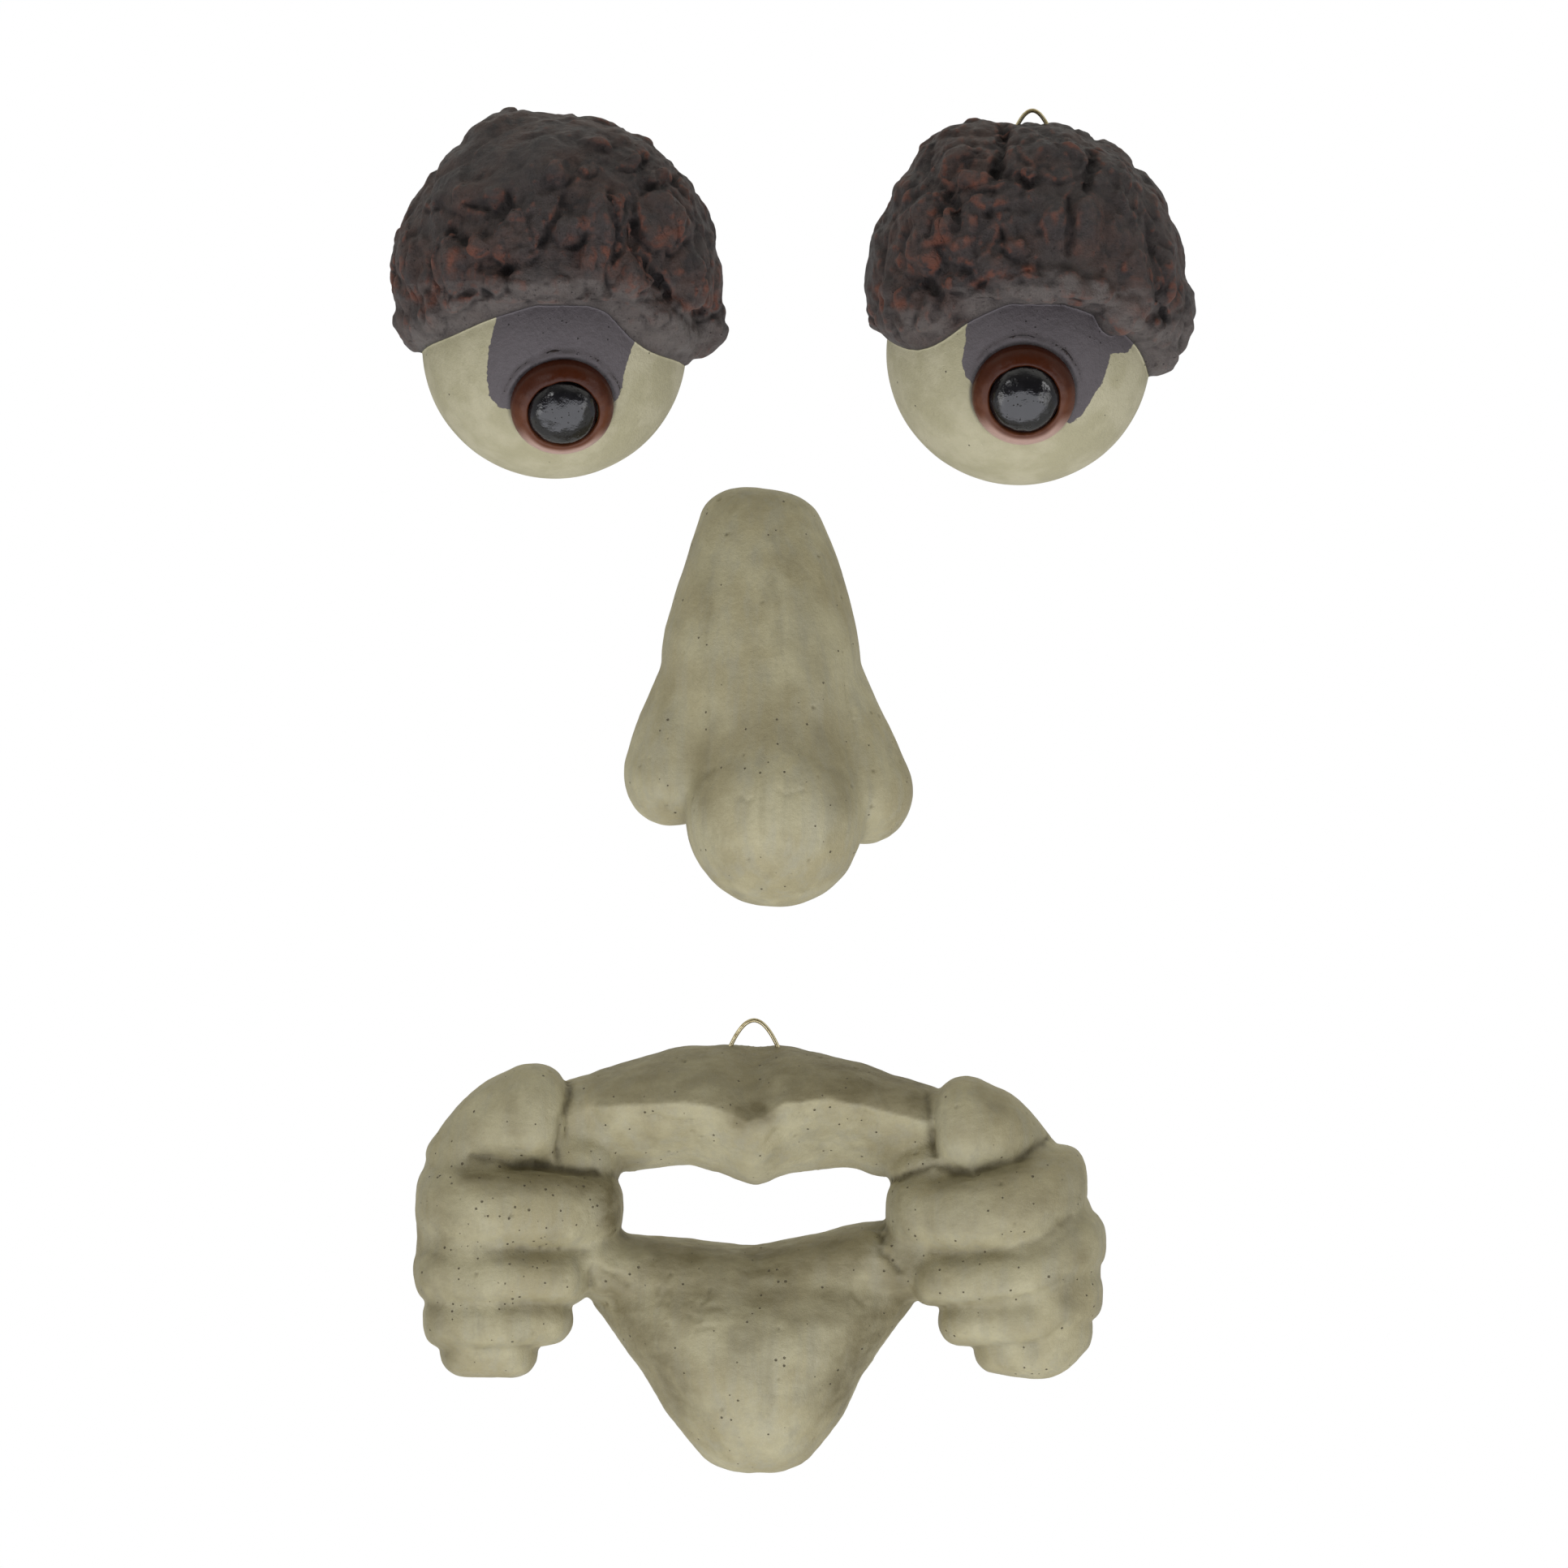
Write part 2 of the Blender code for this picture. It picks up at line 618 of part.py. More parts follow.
def add_boolean(casting, other, operation):
    """Joins another solid to a casting, or cuts it out, and hides that solid."""
    other.hide_render = True
    other.display_type = "WIRE"
    modifier = casting.modifiers.new(other.name, "BOOLEAN")
    modifier.object = other
    modifier.operation = operation


def add_cornea(casting, eye, unit):
    """Joins an iris and a pupil to an eye's casting."""
    mesh = cornea_mesh(eye)
    mesh.transform(Matrix.Scale(unit, 4))
    add_boolean(casting, add_object(f"{casting.name}_cornea", mesh, casting.location), "UNION")


def loop_points(half_width):
    """A hanger's wire, from leg to leg over its peak, as x and z from the middle of its foot."""
    bend = LOOP_HEIGHT / half_width**2
    reach = math.sqrt((LOOP_HEIGHT + LEG_SET_IN) / bend)
    xs = [reach * math.sin(math.pi / 2 * (2 * k / WIRE_STEPS - 1)) for k in range(WIRE_STEPS + 1)]
    return [(x, LOOP_HEIGHT - bend * x * x) for x in xs]


def wire(name, radius, half_width):
    """A bent wire, as a curve."""
    curve = bpy.data.curves.new(name, "CURVE")
    curve.dimensions = "3D"
    curve.bevel_depth = radius
    curve.bevel_resolution = 2
    curve.use_fill_caps = True
    points = loop_points(half_width)
    spline = curve.splines.new("POLY")
    spline.points.add(len(points) - 1)
    for point, (x, z) in zip(spline.points, points):
        point.co = (x, 0.0, z, 1.0)
    return curve


def add_hanger(name, casting, foot, half_width, finish):
    """A wire hanger whose legs are set in a casting, and the socket that holds them."""
    place = casting.location + Vector((foot[0], -WIRE_FROM_TRUNK, foot[1]))
    loop = add_object(name, wire(name, WIRE_DIAMETER / 2, half_width), place)
    loop.data.materials.append(finish)
    bore = bpy.data.objects.new("bore", wire("bore", WIRE_DIAMETER / 2 + WIRE_GAP, half_width))
    socket = bpy.data.meshes.new_from_object(bore)
    bpy.data.objects.remove(bore)
    add_boolean(casting, add_object(f"{name}_socket", socket, place), "DIFFERENCE")


def main():
    """Builds the four castings and the two wire hangers."""
    clear_scene()
    bark = material("bark_and_eyeball_paint", (0.16, 0.12, 0.11), 0.7)
    resin = material("sage_resin", (0.42, 0.39, 0.28), 0.75)
    brass = material("brass_wire", (0.72, 0.62, 0.38), 0.3, 1.0)
    eye_unit, nose_unit, mouth_unit = EYE_HEIGHT / EYE_PARTS, NOSE_HEIGHT / NOSE_PARTS, MOUTH_WIDTH / MOUTH_PARTS

    left_eye = add_casting("left_eye", eye_mesh(LEFT_EYE), eye_unit, LEFT_EYE_PLACE, EYE_FACES, bark)
    right_eye = add_casting("right_eye", eye_mesh(RIGHT_EYE), eye_unit, RIGHT_EYE_PLACE, EYE_FACES, bark)
    add_casting("nose", nose_mesh(), nose_unit, NOSE_PLACE, NOSE_FACES, resin)
    mouth = add_casting("mouth", mouth_mesh(), mouth_unit, MOUTH_PLACE, MOUTH_FACES, resin)

    add_cornea(left_eye, LEFT_EYE, eye_unit)
    add_cornea(right_eye, RIGHT_EYE, eye_unit)
    right_eye_foot = [eye_unit * part for part in RIGHT_EYE_LOOP_FOOT]
    mouth_foot = [mouth_unit * part for part in MOUTH_LOOP_FOOT]
    add_hanger("right_eye_hanger", right_eye, right_eye_foot, RIGHT_EYE_LOOP_HALF_WIDTH, brass)
    add_hanger("mouth_hanger", mouth, mouth_foot, MOUTH_LOOP_HALF_WIDTH, brass)


main()
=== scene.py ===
"""The looks of a tree face: two eyes under bark brows, a nose, and a mouth pulled wide, with brass hangers.

The frame is in metres, +Z up, with the face looking along -Y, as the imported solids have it. Each casting is
laid out in millimetres: x to the right, y into the trunk, z up. Its forms are lumps, or runs of lumps. A fine
remesh makes them one skin, which is then weathered, cut flat at the trunk, and set in its place.
"""

import itertools
import logging
import math
from collections.abc import Callable
from dataclasses import dataclass
from enum import Enum, IntEnum
from typing import Any, NamedTuple

import bmesh
import bpy
import numpy as np
from mathutils import Matrix, Vector, noise


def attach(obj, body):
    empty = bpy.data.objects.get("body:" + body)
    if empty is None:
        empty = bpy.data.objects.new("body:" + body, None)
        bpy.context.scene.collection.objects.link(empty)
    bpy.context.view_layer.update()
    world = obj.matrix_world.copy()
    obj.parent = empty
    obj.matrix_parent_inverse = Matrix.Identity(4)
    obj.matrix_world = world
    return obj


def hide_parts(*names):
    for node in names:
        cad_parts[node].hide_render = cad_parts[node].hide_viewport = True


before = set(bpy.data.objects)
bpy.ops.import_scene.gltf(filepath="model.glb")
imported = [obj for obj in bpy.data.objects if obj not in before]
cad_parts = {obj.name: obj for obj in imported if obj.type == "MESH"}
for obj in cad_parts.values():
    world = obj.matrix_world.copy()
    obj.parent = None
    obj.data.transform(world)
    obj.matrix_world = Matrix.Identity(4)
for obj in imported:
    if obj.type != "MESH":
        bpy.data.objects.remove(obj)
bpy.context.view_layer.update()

MILLIMETRES = 1000.0
NOISE_SEED = 1
OCTAVE_SHIFT = 31.7
CELL_PRIMES = (73856093, 19349663, 83492791)
SEED_PRIME = 40503
HASH_ROUNDS = ((15, 2246822519), (13, 3266489917))
HASH_MASK = 0xFFFFFFFF
GRAIN_VALUE = (7.31, 3.17)
RUN_STEP_SHARE = 0.22
EYEBALL_RADIUS = 41.0

log = logging.getLogger("tree_face")

Points = np.ndarray
Socket = bpy.types.NodeSocket
Node = bpy.types.Node
Tree = bpy.types.NodeTree
Material = bpy.types.Material
Mesh = bpy.types.Mesh
Colour = tuple[float, float, float, float]
Pair = tuple[float, float]
Triple = tuple[float, float, float]
Path = tuple[Pair, ...]


def paint(red: float, green: float, blue: float) -> Colour:
    """A paint's linear colour, from red, green and blue as they look on a screen, from 0 to 255."""
    shares = [value / 255 for value in (red, green, blue)]
    return (*[s / 12.92 if s <= 0.04045 else ((s + 0.055) / 1.055) ** 2.4 for s in shares], 1.0)


class Lump(NamedTuple):
    """A rounded form: its centre, its half widths, how square it is, how far its foremost point is raised,
    and its roll in the face's plane."""

    x: float
    out: float
    z: float
    half_x: float
    half_out: float
    half_z: float
    square: float = 2.0
    raised: float = 0.0
    roll: float = 0.0


class BrowRim(NamedTuple):
    """A place on a brow's lower rim: x and z of its lower edge, and the radius of the rim there."""

    x: float
    z: float
    radius: float


class Plate(NamedTuple):
    """A plate of bark on a brow: where it lies, its half widths, how far it stands out and its roll."""

    x: float
    z: float
    half_x: float
    half_z: float
    rise: float
    roll: float = 0.0


class Stroke(NamedTuple):
    """A line on a casting's front: its path in x and z, its half width, and its strength, which is a depth
    for a groove and a share for a coat of paint, of painted shade or of painted light."""

    path: Path
    half_width: float
    strength: float


def lumps(*rows: tuple[float, ...]) -> tuple[Lump, ...]:
    """Lumps from rows of their values."""
    return tuple(Lump(*row) for row in rows)


def rims(*rows: Triple) -> tuple[BrowRim, ...]:
    """Places on a brow's rim from rows of their values."""
    return tuple(BrowRim(*row) for row in rows)


def plates(*rows: tuple[float, ...]) -> tuple[Plate, ...]:
    """Plates from rows of their values."""
    return tuple(Plate(*row) for row in rows)


def strokes(*rows: tuple) -> tuple[Stroke, ...]:
    """Strokes from rows, each of a half width, a strength and the corners of a path."""
    return tuple(Stroke(row[2:], *row[:2]) for row in rows)


class Pits(NamedTuple):
    """The pits that air leaves in a casting: how far apart they may lie, the radii where one starts and where
    it is deepest, what share of them there is, and their depth."""

    spacing: float
    start: float
    deepest: float
    share: float
    depth: float


class Finish(Enum):
    """The finishes of the material slots."""

    EYE = "bark_and_eye_paint"
    RESIN = "sage_resin"
    BRASS = "brass_wire"


class Seed(IntEnum):
    """Which noise each kind of unevenness reads. A wander reads the next two as well."""

    UNEVEN = 3
    EYEBALL = 5
    CAST_PITS = 9
    SLABS = 11
    PITTED = 14
    BARK_PITS = 19
    FINE = 21
    WORN = 23
    FOLDS = 33
    CREASES = 37
    KNOTS = 39
    STRAY_X = 41
    PLATE_WANDER = 45
    STRAY_Z = 57
    BARK_WANDER = 60
    IRIS_WOBBLE = 73
    IRIS_RIPPLE = 77
    WASH_WANDER = 80
    FOLD_PLACE = 91
    FOLD_HEIGHT = 93


class Ridges(NamedTuple):
    """Ridged noise: its size, its stretch, where it is cut level, how high it rises, and its seed."""

    size: float
    times: Triple
    level: float
    rise: float
    seed: Seed


def hashed(cells: Points, seed: int) -> Points:
    """Even values for the cells of a grid, always the same for a cell and a seed.

    Args:
        cells: Whole numbers, three to a cell.
        seed: Which set of values.

    Returns:
        Three values from 0 to 1 for each cell.
    """
    x, y, z = (cells.astype(np.int64) * CELL_PRIMES).T
    mixed = x ^ y ^ z ^ int(seed) * SEED_PRIME
    values = []
    for _ in range(3):
        for shift, factor in HASH_ROUNDS:
            mixed = (mixed ^ (mixed >> shift)) * factor & HASH_MASK
        values.append((mixed >> 8) / float(1 << 24))
    return np.column_stack(values)


def step_between(low: float, high: float, values: Points) -> Points:
    """A smooth rise of the values from 0 at low to 1 at high, or a fall where high is below low."""
    share = np.clip((values - low) / (high - low), 0, 1)
    return share * share * (3 - 2 * share)


class Rise(NamedTuple):
    """How a share rises with a value: where it starts, where it is full, and what it is there."""

    low: float
    high: float
    full: float = 1.0

    def of(self, values: Points) -> Points:
        """The share for each value."""
        return self.full * step_between(self.low, self.high, values)


def soft_noise(points: Points, size: float, seed: int, octaves: int = 1) -> Points:
    """Smooth noise in space.

    Args:
        points: Where it is read.
        size: The width of its largest lumps.
        seed: Which noise.
        octaves: How many layers it has, each half as wide and half as strong as the one before.

    Returns:
        Values about from -1 to 1.
    """
    total = np.zeros(len(points))
    for octave in range(octaves):
        at = points / (size / 2**octave) + OCTAVE_SHIFT * octave
        base = np.floor(at)
        share = step_between(0, 1, at - base)
        for corner in itertools.product((0, 1), repeat=3):
            weight = np.prod(np.where(np.array(corner) == 1, share, 1 - share), axis=1)
            total += weight * (2 * hashed(base + corner, seed + octave)[:, 0] - 1) / 2**octave
    return total


def wander(points: Points, reach: float, size: float, seed: int, octaves: int = 1) -> Points:
    """Soft noise along each axis, to move points by: up to about the reach."""
    return reach * np.column_stack([soft_noise(points, size, seed + axis, octaves) for axis in range(3)])


def grains(points: Points, spacing: float, seed: int) -> tuple[Points, Points, Points]:
    """Scattered grains in space.

    Args:
        points: Where they are read.
        spacing: How far apart they lie.
        seed: Which scatter.

    Returns:
        The distances to the nearest grain and to the next, and one value from 0 to 1 for the nearest.
    """
    at = points / spacing
    base = np.floor(at)
    nearest = np.full(len(points), np.inf)
    following = nearest.copy()
    value = np.zeros(len(points))
    for offset in itertools.product((-1, 0, 1), repeat=3):
        random = hashed(base + offset, seed)
        distance = np.linalg.norm(base + offset + random - at, axis=1)
        closer = distance < nearest
        following = np.where(closer, nearest, np.minimum(following, distance))
        mixed = (random[:, 0] * GRAIN_VALUE[0] + random[:, 2] * GRAIN_VALUE[1]) % 1.0
        value = np.where(closer, mixed, value)
        nearest = np.where(closer, distance, nearest)
    return nearest * spacing, following * spacing, value


def from_path(points: Points, path: Path) -> Points:
    """How far points lie from a path, seen from the front.

    Args:
        points: The points.
        path: The path's corners in x and z.

    Returns:
        A distance for each point.
    """
    flat = points[:, [0, 2]]
    ends = np.array(path, float)
    nearest = np.full(len(flat), np.inf)
    for start, end in zip(ends, ends[1:]):
        along = end - start
        share = np.clip((flat - start) @ along / (along @ along), 0, 1)
        nearest = np.minimum(nearest, np.linalg.norm(flat - start - share[:, None] * along, axis=1))
    return nearest


def inside_outline(points: Points, outline: Path) -> Points:
    """How far points lie inside an outline, seen from the front.

    Args:
        points: The points.
        outline: The outline's corners in x and z.

    Returns:
        A distance for each point, less than 0 outside.
    """
    closed = (*outline, outline[0])
    x, z = points[:, 0], points[:, 2]
    within = np.zeros(len(points), bool)
    for (x1, z1), (x2, z2) in zip(closed, closed[1:]):
        if z1 != z2:
            within ^= ((z1 > z) != (z2 > z)) & (x < x1 + (z - z1) * (x2 - x1) / (z2 - z1))
    return np.where(within, 1, -1) * from_path(points, closed)


def washed(points: Points, brushed: tuple[Stroke, ...]) -> Points:
    """How strong the strokes are at points.

    Args:
        points: The points.
        brushed: The strokes.

    Returns:
        The strength of the strongest, for each point.
    """
    total = np.zeros(len(points))
    for stroke in brushed:
        across = from_path(points, stroke.path) / stroke.half_width
        total = np.maximum(total, stroke.strength * np.exp(-across * across))
    return total


def blend_stations(stations: tuple[tuple[float, ...], ...], share: float) -> list[float]:
    """The station at a share of the way along a run.

    Args:
        stations: The run's stations.
        share: From 0 at the first to 1 at the last.

    Returns:
        Its values, on a smooth curve through all of the stations.
    """
    table = np.array(stations)
    along = share * (len(table) - 1)
    at = min(int(along), len(table) - 2)
    t = along - at
    before, start, end, after = (table[np.clip(at + k, 0, len(table) - 1)] for k in (-1, 0, 1, 2))
    value = start * (2 * t**3 - 3 * t**2 + 1) + (end - before) / 2 * (t**3 - 2 * t**2 + t)
    return list(value + end * (3 * t**2 - 2 * t**3) + (after - start) / 2 * (t**3 - t**2))


def run(stations: tuple[Lump, ...]) -> list[Lump]:
    """The lumps of a run, close enough together to read as one limb.

    Args:
        stations: The lumps that the run goes through.

    Returns:
        All of its lumps.
    """
    if len(stations) == 1:
        return list(stations)
    places = np.array([(s.x, s.out, s.z) for s in stations])
    length = np.linalg.norm(np.diff(places, axis=0), axis=1).sum()
    thinnest = min(min(s.half_x, s.half_z) for s in stations)
    count = max(2, math.ceil(length / (thinnest * RUN_STEP_SHARE)))
    return [Lump(*blend_stations(stations, k / count)) for k in range(count + 1)]


def lump_points(lump: Lump, ball: Points) -> Points:
    """The points of one lump.

    Args:
        lump: The lump.
        ball: The points of a ball of radius 1.

    Returns:
        Those points, shaped and placed as the lump, with y pointing into the trunk.
    """
    points = ball / (np.abs(ball) ** lump.square).sum(axis=1, keepdims=True) ** (1 / lump.square)
    raised = lump.raised * np.maximum(-points[:, 1], 0)
    points = points * (lump.half_x, lump.half_out, lump.half_z)
    points[:, 2] += raised
    turn = math.radians(lump.roll)
    x = points[:, 0] * math.cos(turn) + points[:, 2] * math.sin(turn)
    z = points[:, 2] * math.cos(turn) - points[:, 0] * math.sin(turn)
    return np.column_stack((x + lump.x, points[:, 1] - lump.out, z + lump.z))


def lumps_mesh(forms: list[Lump], fineness: int = 4) -> Mesh:
    """A mesh that holds every lump as its own closed shell.

    Args:
        forms: The lumps.
        fineness: How many times the faces of each ball are split.

    Returns:
        The mesh.
    """
    bm = bmesh.new()
    bmesh.ops.create_icosphere(bm, subdivisions=fineness, radius=1.0)
    ball = np.array([vertex.co[:] for vertex in bm.verts])
    faces = np.array([[vertex.index for vertex in face.verts] for face in bm.faces])
    bm.free()
    points = [lump_points(lump, ball) for lump in forms]
    triangles = [faces + k * len(ball) for k in range(len(points))]
    mesh = bpy.data.meshes.new("lumps")
    mesh.from_pydata(np.concatenate(points).tolist(), [], np.concatenate(triangles).tolist())
    return mesh


def joined(*meshes: Mesh) -> Mesh:
    """Several meshes as one.

    Args:
        meshes: The meshes, whose shells stay apart.

    Returns:
        One mesh with all of them.
    """
    bm = bmesh.new()
    for mesh in meshes:
        bm.from_mesh(mesh)
    return finished(bm)


def finished(bm: bmesh.types.BMesh) -> Mesh:
    """A mesh from a bmesh, which is freed.

    Args:
        bm: The bmesh.

    Returns:
        The mesh.
    """
    mesh = bpy.data.meshes.new("work")
    bm.to_mesh(mesh)
    bm.free()
    return mesh


def cut_flat(mesh: Mesh, place: Triple, normal: Triple, closed: bool = True) -> Mesh:
    """A mesh with all that lies past a plane cut off.

    Args:
        mesh: The mesh.
        place: A point of the plane.
        normal: The plane's direction, towards what is cut off.
        closed: Whether the cut is closed with a flat face.

    Returns:
        What is left.
    """
    bm = bmesh.new()
    bm.from_mesh(mesh)
    geometry = bm.verts[:] + bm.edges[:] + bm.faces[:]
    bmesh.ops.bisect_plane(bm, geom=geometry, dist=1e-5, plane_co=place, plane_no=normal, clear_outer=True)
    if closed:
        rim = [edge for edge in bm.edges if edge.is_boundary]
        bmesh.ops.triangle_fill(bm, edges=rim, use_beauty=True, use_dissolve=False)
        bmesh.ops.recalc_face_normals(bm, faces=bm.faces)
    return finished(bm)


def evaluated(mesh: Mesh, *modifiers: tuple[str, dict[str, Any]]) -> Mesh:
    """A mesh with modifiers applied.

    Args:
        mesh: The mesh.
        modifiers: Each modifier's type and settings.

    Returns:
        The result.
    """
    obj = bpy.data.objects.new("work", mesh)
    bpy.context.scene.collection.objects.link(obj)
    for kind, settings in modifiers:
        modifier = obj.modifiers.new(kind, kind)
        for key, value in settings.items():
            setattr(modifier, key, value)
    graph = bpy.context.evaluated_depsgraph_get()
    result = bpy.data.meshes.new_from_object(obj.evaluated_get(graph))
    bpy.data.objects.remove(obj)
    return result


def show(mesh: Mesh, node: str) -> None:
    """Shows a mesh as a piece, in place of its solid.

    Args:
        mesh: The mesh, whose name the piece takes.
        node: The solid.
    """
    mesh.shade_smooth()
    obj = bpy.data.objects.new(mesh.name, mesh)
    bpy.context.scene.collection.objects.link(obj)
    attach(obj, "root")
    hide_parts(node)
    log.info("%s has %d faces", obj.name, len(mesh.polygons))


class Skin:
    """A casting's surface as arrays, to be weathered and masked."""

    stray_size: float = 5.0
    front_from: Rise = Rise(0.0, 0.35)

    def __init__(self, mesh: Mesh) -> None:
        """Reads a mesh.

        Args:
            mesh: The mesh, which this skin then changes.
        """
        self.mesh = mesh
        count = len(mesh.vertices)
        flat = np.empty(count * 3, np.float32)
        mesh.vertices.foreach_get("co", flat)
        self.points = flat.reshape(count, 3).astype(float)
        pairs = np.empty(len(mesh.edges) * 2, np.int32)
        mesh.edges.foreach_get("vertices", pairs)
        self.edges = pairs.reshape(-1, 2)
        self.neighbours = np.maximum(np.bincount(self.edges.ravel(), minlength=count), 1)
        self.refresh()

    def refresh(self) -> None:
        """Reads the normals again."""
        flat = np.empty(len(self.points) * 3, np.float32)
        self.mesh.vertices.foreach_get("normal", flat)
        self.normals = flat.reshape(-1, 3).astype(float)

    def place(self, points: Points) -> None:
        """Moves the surface.

        Args:
            points: The new place of each vertex.
        """
        self.points = points
        self.mesh.vertices.foreach_set("co", points.astype(np.float32).ravel())
        self.mesh.update()
        self.refresh()

    def raise_by(self, heights: Points) -> None:
        """Moves each vertex along its normal, by its own height."""
        self.place(self.points + self.normals * heights[:, None])

    def eased(self, values: Points, rounds: int) -> Points:
        """Values spread over the surface.

        Args:
            values: One or more values for each vertex.
            rounds: How many times each takes half of its neighbours' mean.

        Returns:
            The spread values.
        """
        spread = values.reshape(len(self.points), -1).copy()
        first, second = self.edges.T
        for _ in range(rounds):
            for column in spread.T:
                total = np.bincount(first, column[second], len(column))
                total += np.bincount(second, column[first], len(column))
                column[:] = (column + total / self.neighbours) / 2
        return spread.reshape(values.shape)

    def sink(self, depths: Points) -> None:
        """Moves each vertex towards the trunk, by its own depth."""
        self.place(np.column_stack((self.points[:, 0], self.points[:, 1] + depths, self.points[:, 2])))

    def ease_depth(self, rounds: int, share: Points) -> None:
        """Eases the front's relief by a share, and leaves its outline from the front as it is."""
        self.sink((self.eased(self.points[:, 1], rounds) - self.points[:, 1]) * share)

    def fill(self, rounds: int, share: float) -> None:
        """Fills a share of the depth of the front's valleys, and leaves the forms beside them."""
        depths = self.eased(self.points[:, 1], rounds) - self.points[:, 1]
        self.sink(np.minimum(depths, 0) * share * self.front())

    def hollow(self, rounds: int) -> Points:
        """How far each vertex lies below the eased surface, and less than 0 on ridges."""
        return ((self.eased(self.points, rounds) - self.points) * self.normals).sum(axis=1)

    def front(self) -> Points:
        """A share for each vertex, 1 where it faces the front and 0 where it faces sideways or the trunk."""
        return self.front_from.of(-self.normals[:, 1])

    def groove(self, lines: tuple[Stroke, ...], stray: float) -> None:
        """Sinks lines into the front of the surface.

        Args:
            lines: The lines.
            stray: How far they stray from their paths.
        """
        moved = self.points.copy()
        for axis, seed in ((0, Seed.STRAY_X), (2, Seed.STRAY_Z)):
            moved[:, axis] += stray * soft_noise(self.points, self.stray_size, seed, 2)
        self.raise_by(-washed(moved, lines) * self.front())

    def pitted(self, pits: Pits, seed: Seed, more: Points | float = 0.0) -> Points:
        """Pits in the surface.

        Args:
            pits: What they are like.
            seed: Which scatter.
            more: How much larger their share is, for each vertex.

        Returns:
            A depth for each vertex.
        """
        near, _, value = grains(self.points, pits.spacing, seed)
        return pits.depth * step_between(pits.start, pits.deepest, near) * (value < pits.share + more)

    def keep(self, name: str, values: Points) -> None:
        """Keeps a value for each vertex, for the material to read."""
        attribute = self.mesh.attributes.new(name, "FLOAT", "POINT")
        attribute.data.foreach_set("value", values.astype(np.float32))


class Patches(NamedTuple):
    """Uneven patches of a second paint: how many there are to a millimetre, between which values of the noise
    it rises, how strong it gets, and how many finer layers the noise has and how rough they are."""

    scale: float
    low: float
    high: float
    strength: float = 1.0
    detail: float = 4.0
    roughness: float = 0.55


class Nodes:
    """Adds nodes to a tree with short calls."""

    def __init__(self, tree: Tree) -> None:
        """Takes the tree that the nodes go into."""
        self.tree = tree

    def add(self, kind: str, values: dict[Any, Any] | None = None, **settings: Any) -> Node:
        """Adds a node.

        Args:
            kind: Its type, without ShaderNode.
            values: What its inputs get, by name or number: a value or another node's socket.
            settings: Its own settings.

        Returns:
            The node.
        """
        node = self.tree.nodes.new(f"ShaderNode{kind}")
        for key, value in settings.items():
            setattr(node, key, value)
        for key, value in (values or {}).items():
            self.put(node, key, value)
        return node

    def put(self, node: Node, key: str | int, value: Any) -> None:
        """Sets or links a node's input.

        Args:
            node: The node.
            key: The input's name or number.
            value: A value or another node's socket.
        """
        if isinstance(value, Socket):
            self.tree.links.new(value, node.inputs[key])
        else:
            node.inputs[key].default_value = value

    def math(self, operation: str, *values: Any, clamped: bool = False) -> Socket:
        """The result of an operation on values or sockets, kept from 0 to 1 if clamped."""
        return self.add("Math", dict(enumerate(values)), operation=operation, use_clamp=clamped).outputs[0]

    def rise(self, value: Any, low: float, high: float, bottom: float = 0.0, top: float = 1.0) -> Socket:
        """A smooth rise from bottom to top, as the value goes from low to high."""
        values = {0: value, 1: low, 2: high, 3: bottom, 4: top}
        return self.add("MapRange", values, interpolation_type="SMOOTHSTEP").outputs[0]

    def mix(self, share: Any, first: Any, second: Any) -> Socket:
        """A colour mixed from two: a share, from 0 to 1, of the second."""
        values = {0: share, 6: first, 7: second}
        return self.add("Mix", values, data_type="RGBA", clamp_factor=True).outputs[2]

    def tinted(self, colour: Any, tone: Any) -> Socket:
        """A colour times a number."""
        return self.add("VectorMath", {0: colour, "Scale": tone}, operation="SCALE").outputs[0]

    def noise(self, at: Any, scale: Any, detail: float = 3.0, roughness: float = 0.55) -> Socket:
        """Noise from 0 to 1, with a number of lumps to a millimetre and finer layers of a roughness."""
        values = {"Vector": at, "Scale": scale, "Detail": detail, "Roughness": roughness}
        return self.add("TexNoise", values).outputs["Fac"]

    def patches(self, at: Any, uneven: Patches) -> Socket:
        """How much of a second paint there is, in uneven patches."""
        cloud = self.noise(at, uneven.scale, uneven.detail, uneven.roughness)
        return self.rise(cloud, uneven.low, uneven.high, 0.0, uneven.strength)

    def stretched(self, at: Any, times: Triple) -> Socket:
        """Coordinates times a number along each axis."""
        return self.add("VectorMath", {0: at, 1: times}, operation="MULTIPLY").outputs[0]

    def kept(self, name: str) -> Socket:
        """A value that the casting keeps for each vertex."""
        return self.add("Attribute", attribute_name=name).outputs["Fac"]


Given = dict[str, Socket]
Effect = Callable[[Nodes, Given], Socket]


def mottled(nodes: Nodes, given: Given) -> Socket:
    """The uneven tone of hand-laid paint: large soft patches and small ones.

    Args:
        nodes: The group's nodes.
        given: The group's inputs.

    Returns:
        The colour.
    """
    large = nodes.noise(given["Vector"], given["Scale"], 4.0)
    small = nodes.noise(given["Vector"], nodes.math("MULTIPLY", given["Scale"], 7.0))
    both = nodes.math("ADD", nodes.math("MULTIPLY", large, 1.3), nodes.math("MULTIPLY", small, 0.7))
    swing = nodes.math("MULTIPLY", nodes.math("SUBTRACT", both, 1.0), given["Contrast"])
    return nodes.tinted(given["Color"], nodes.math("ADD", swing, 1.0))


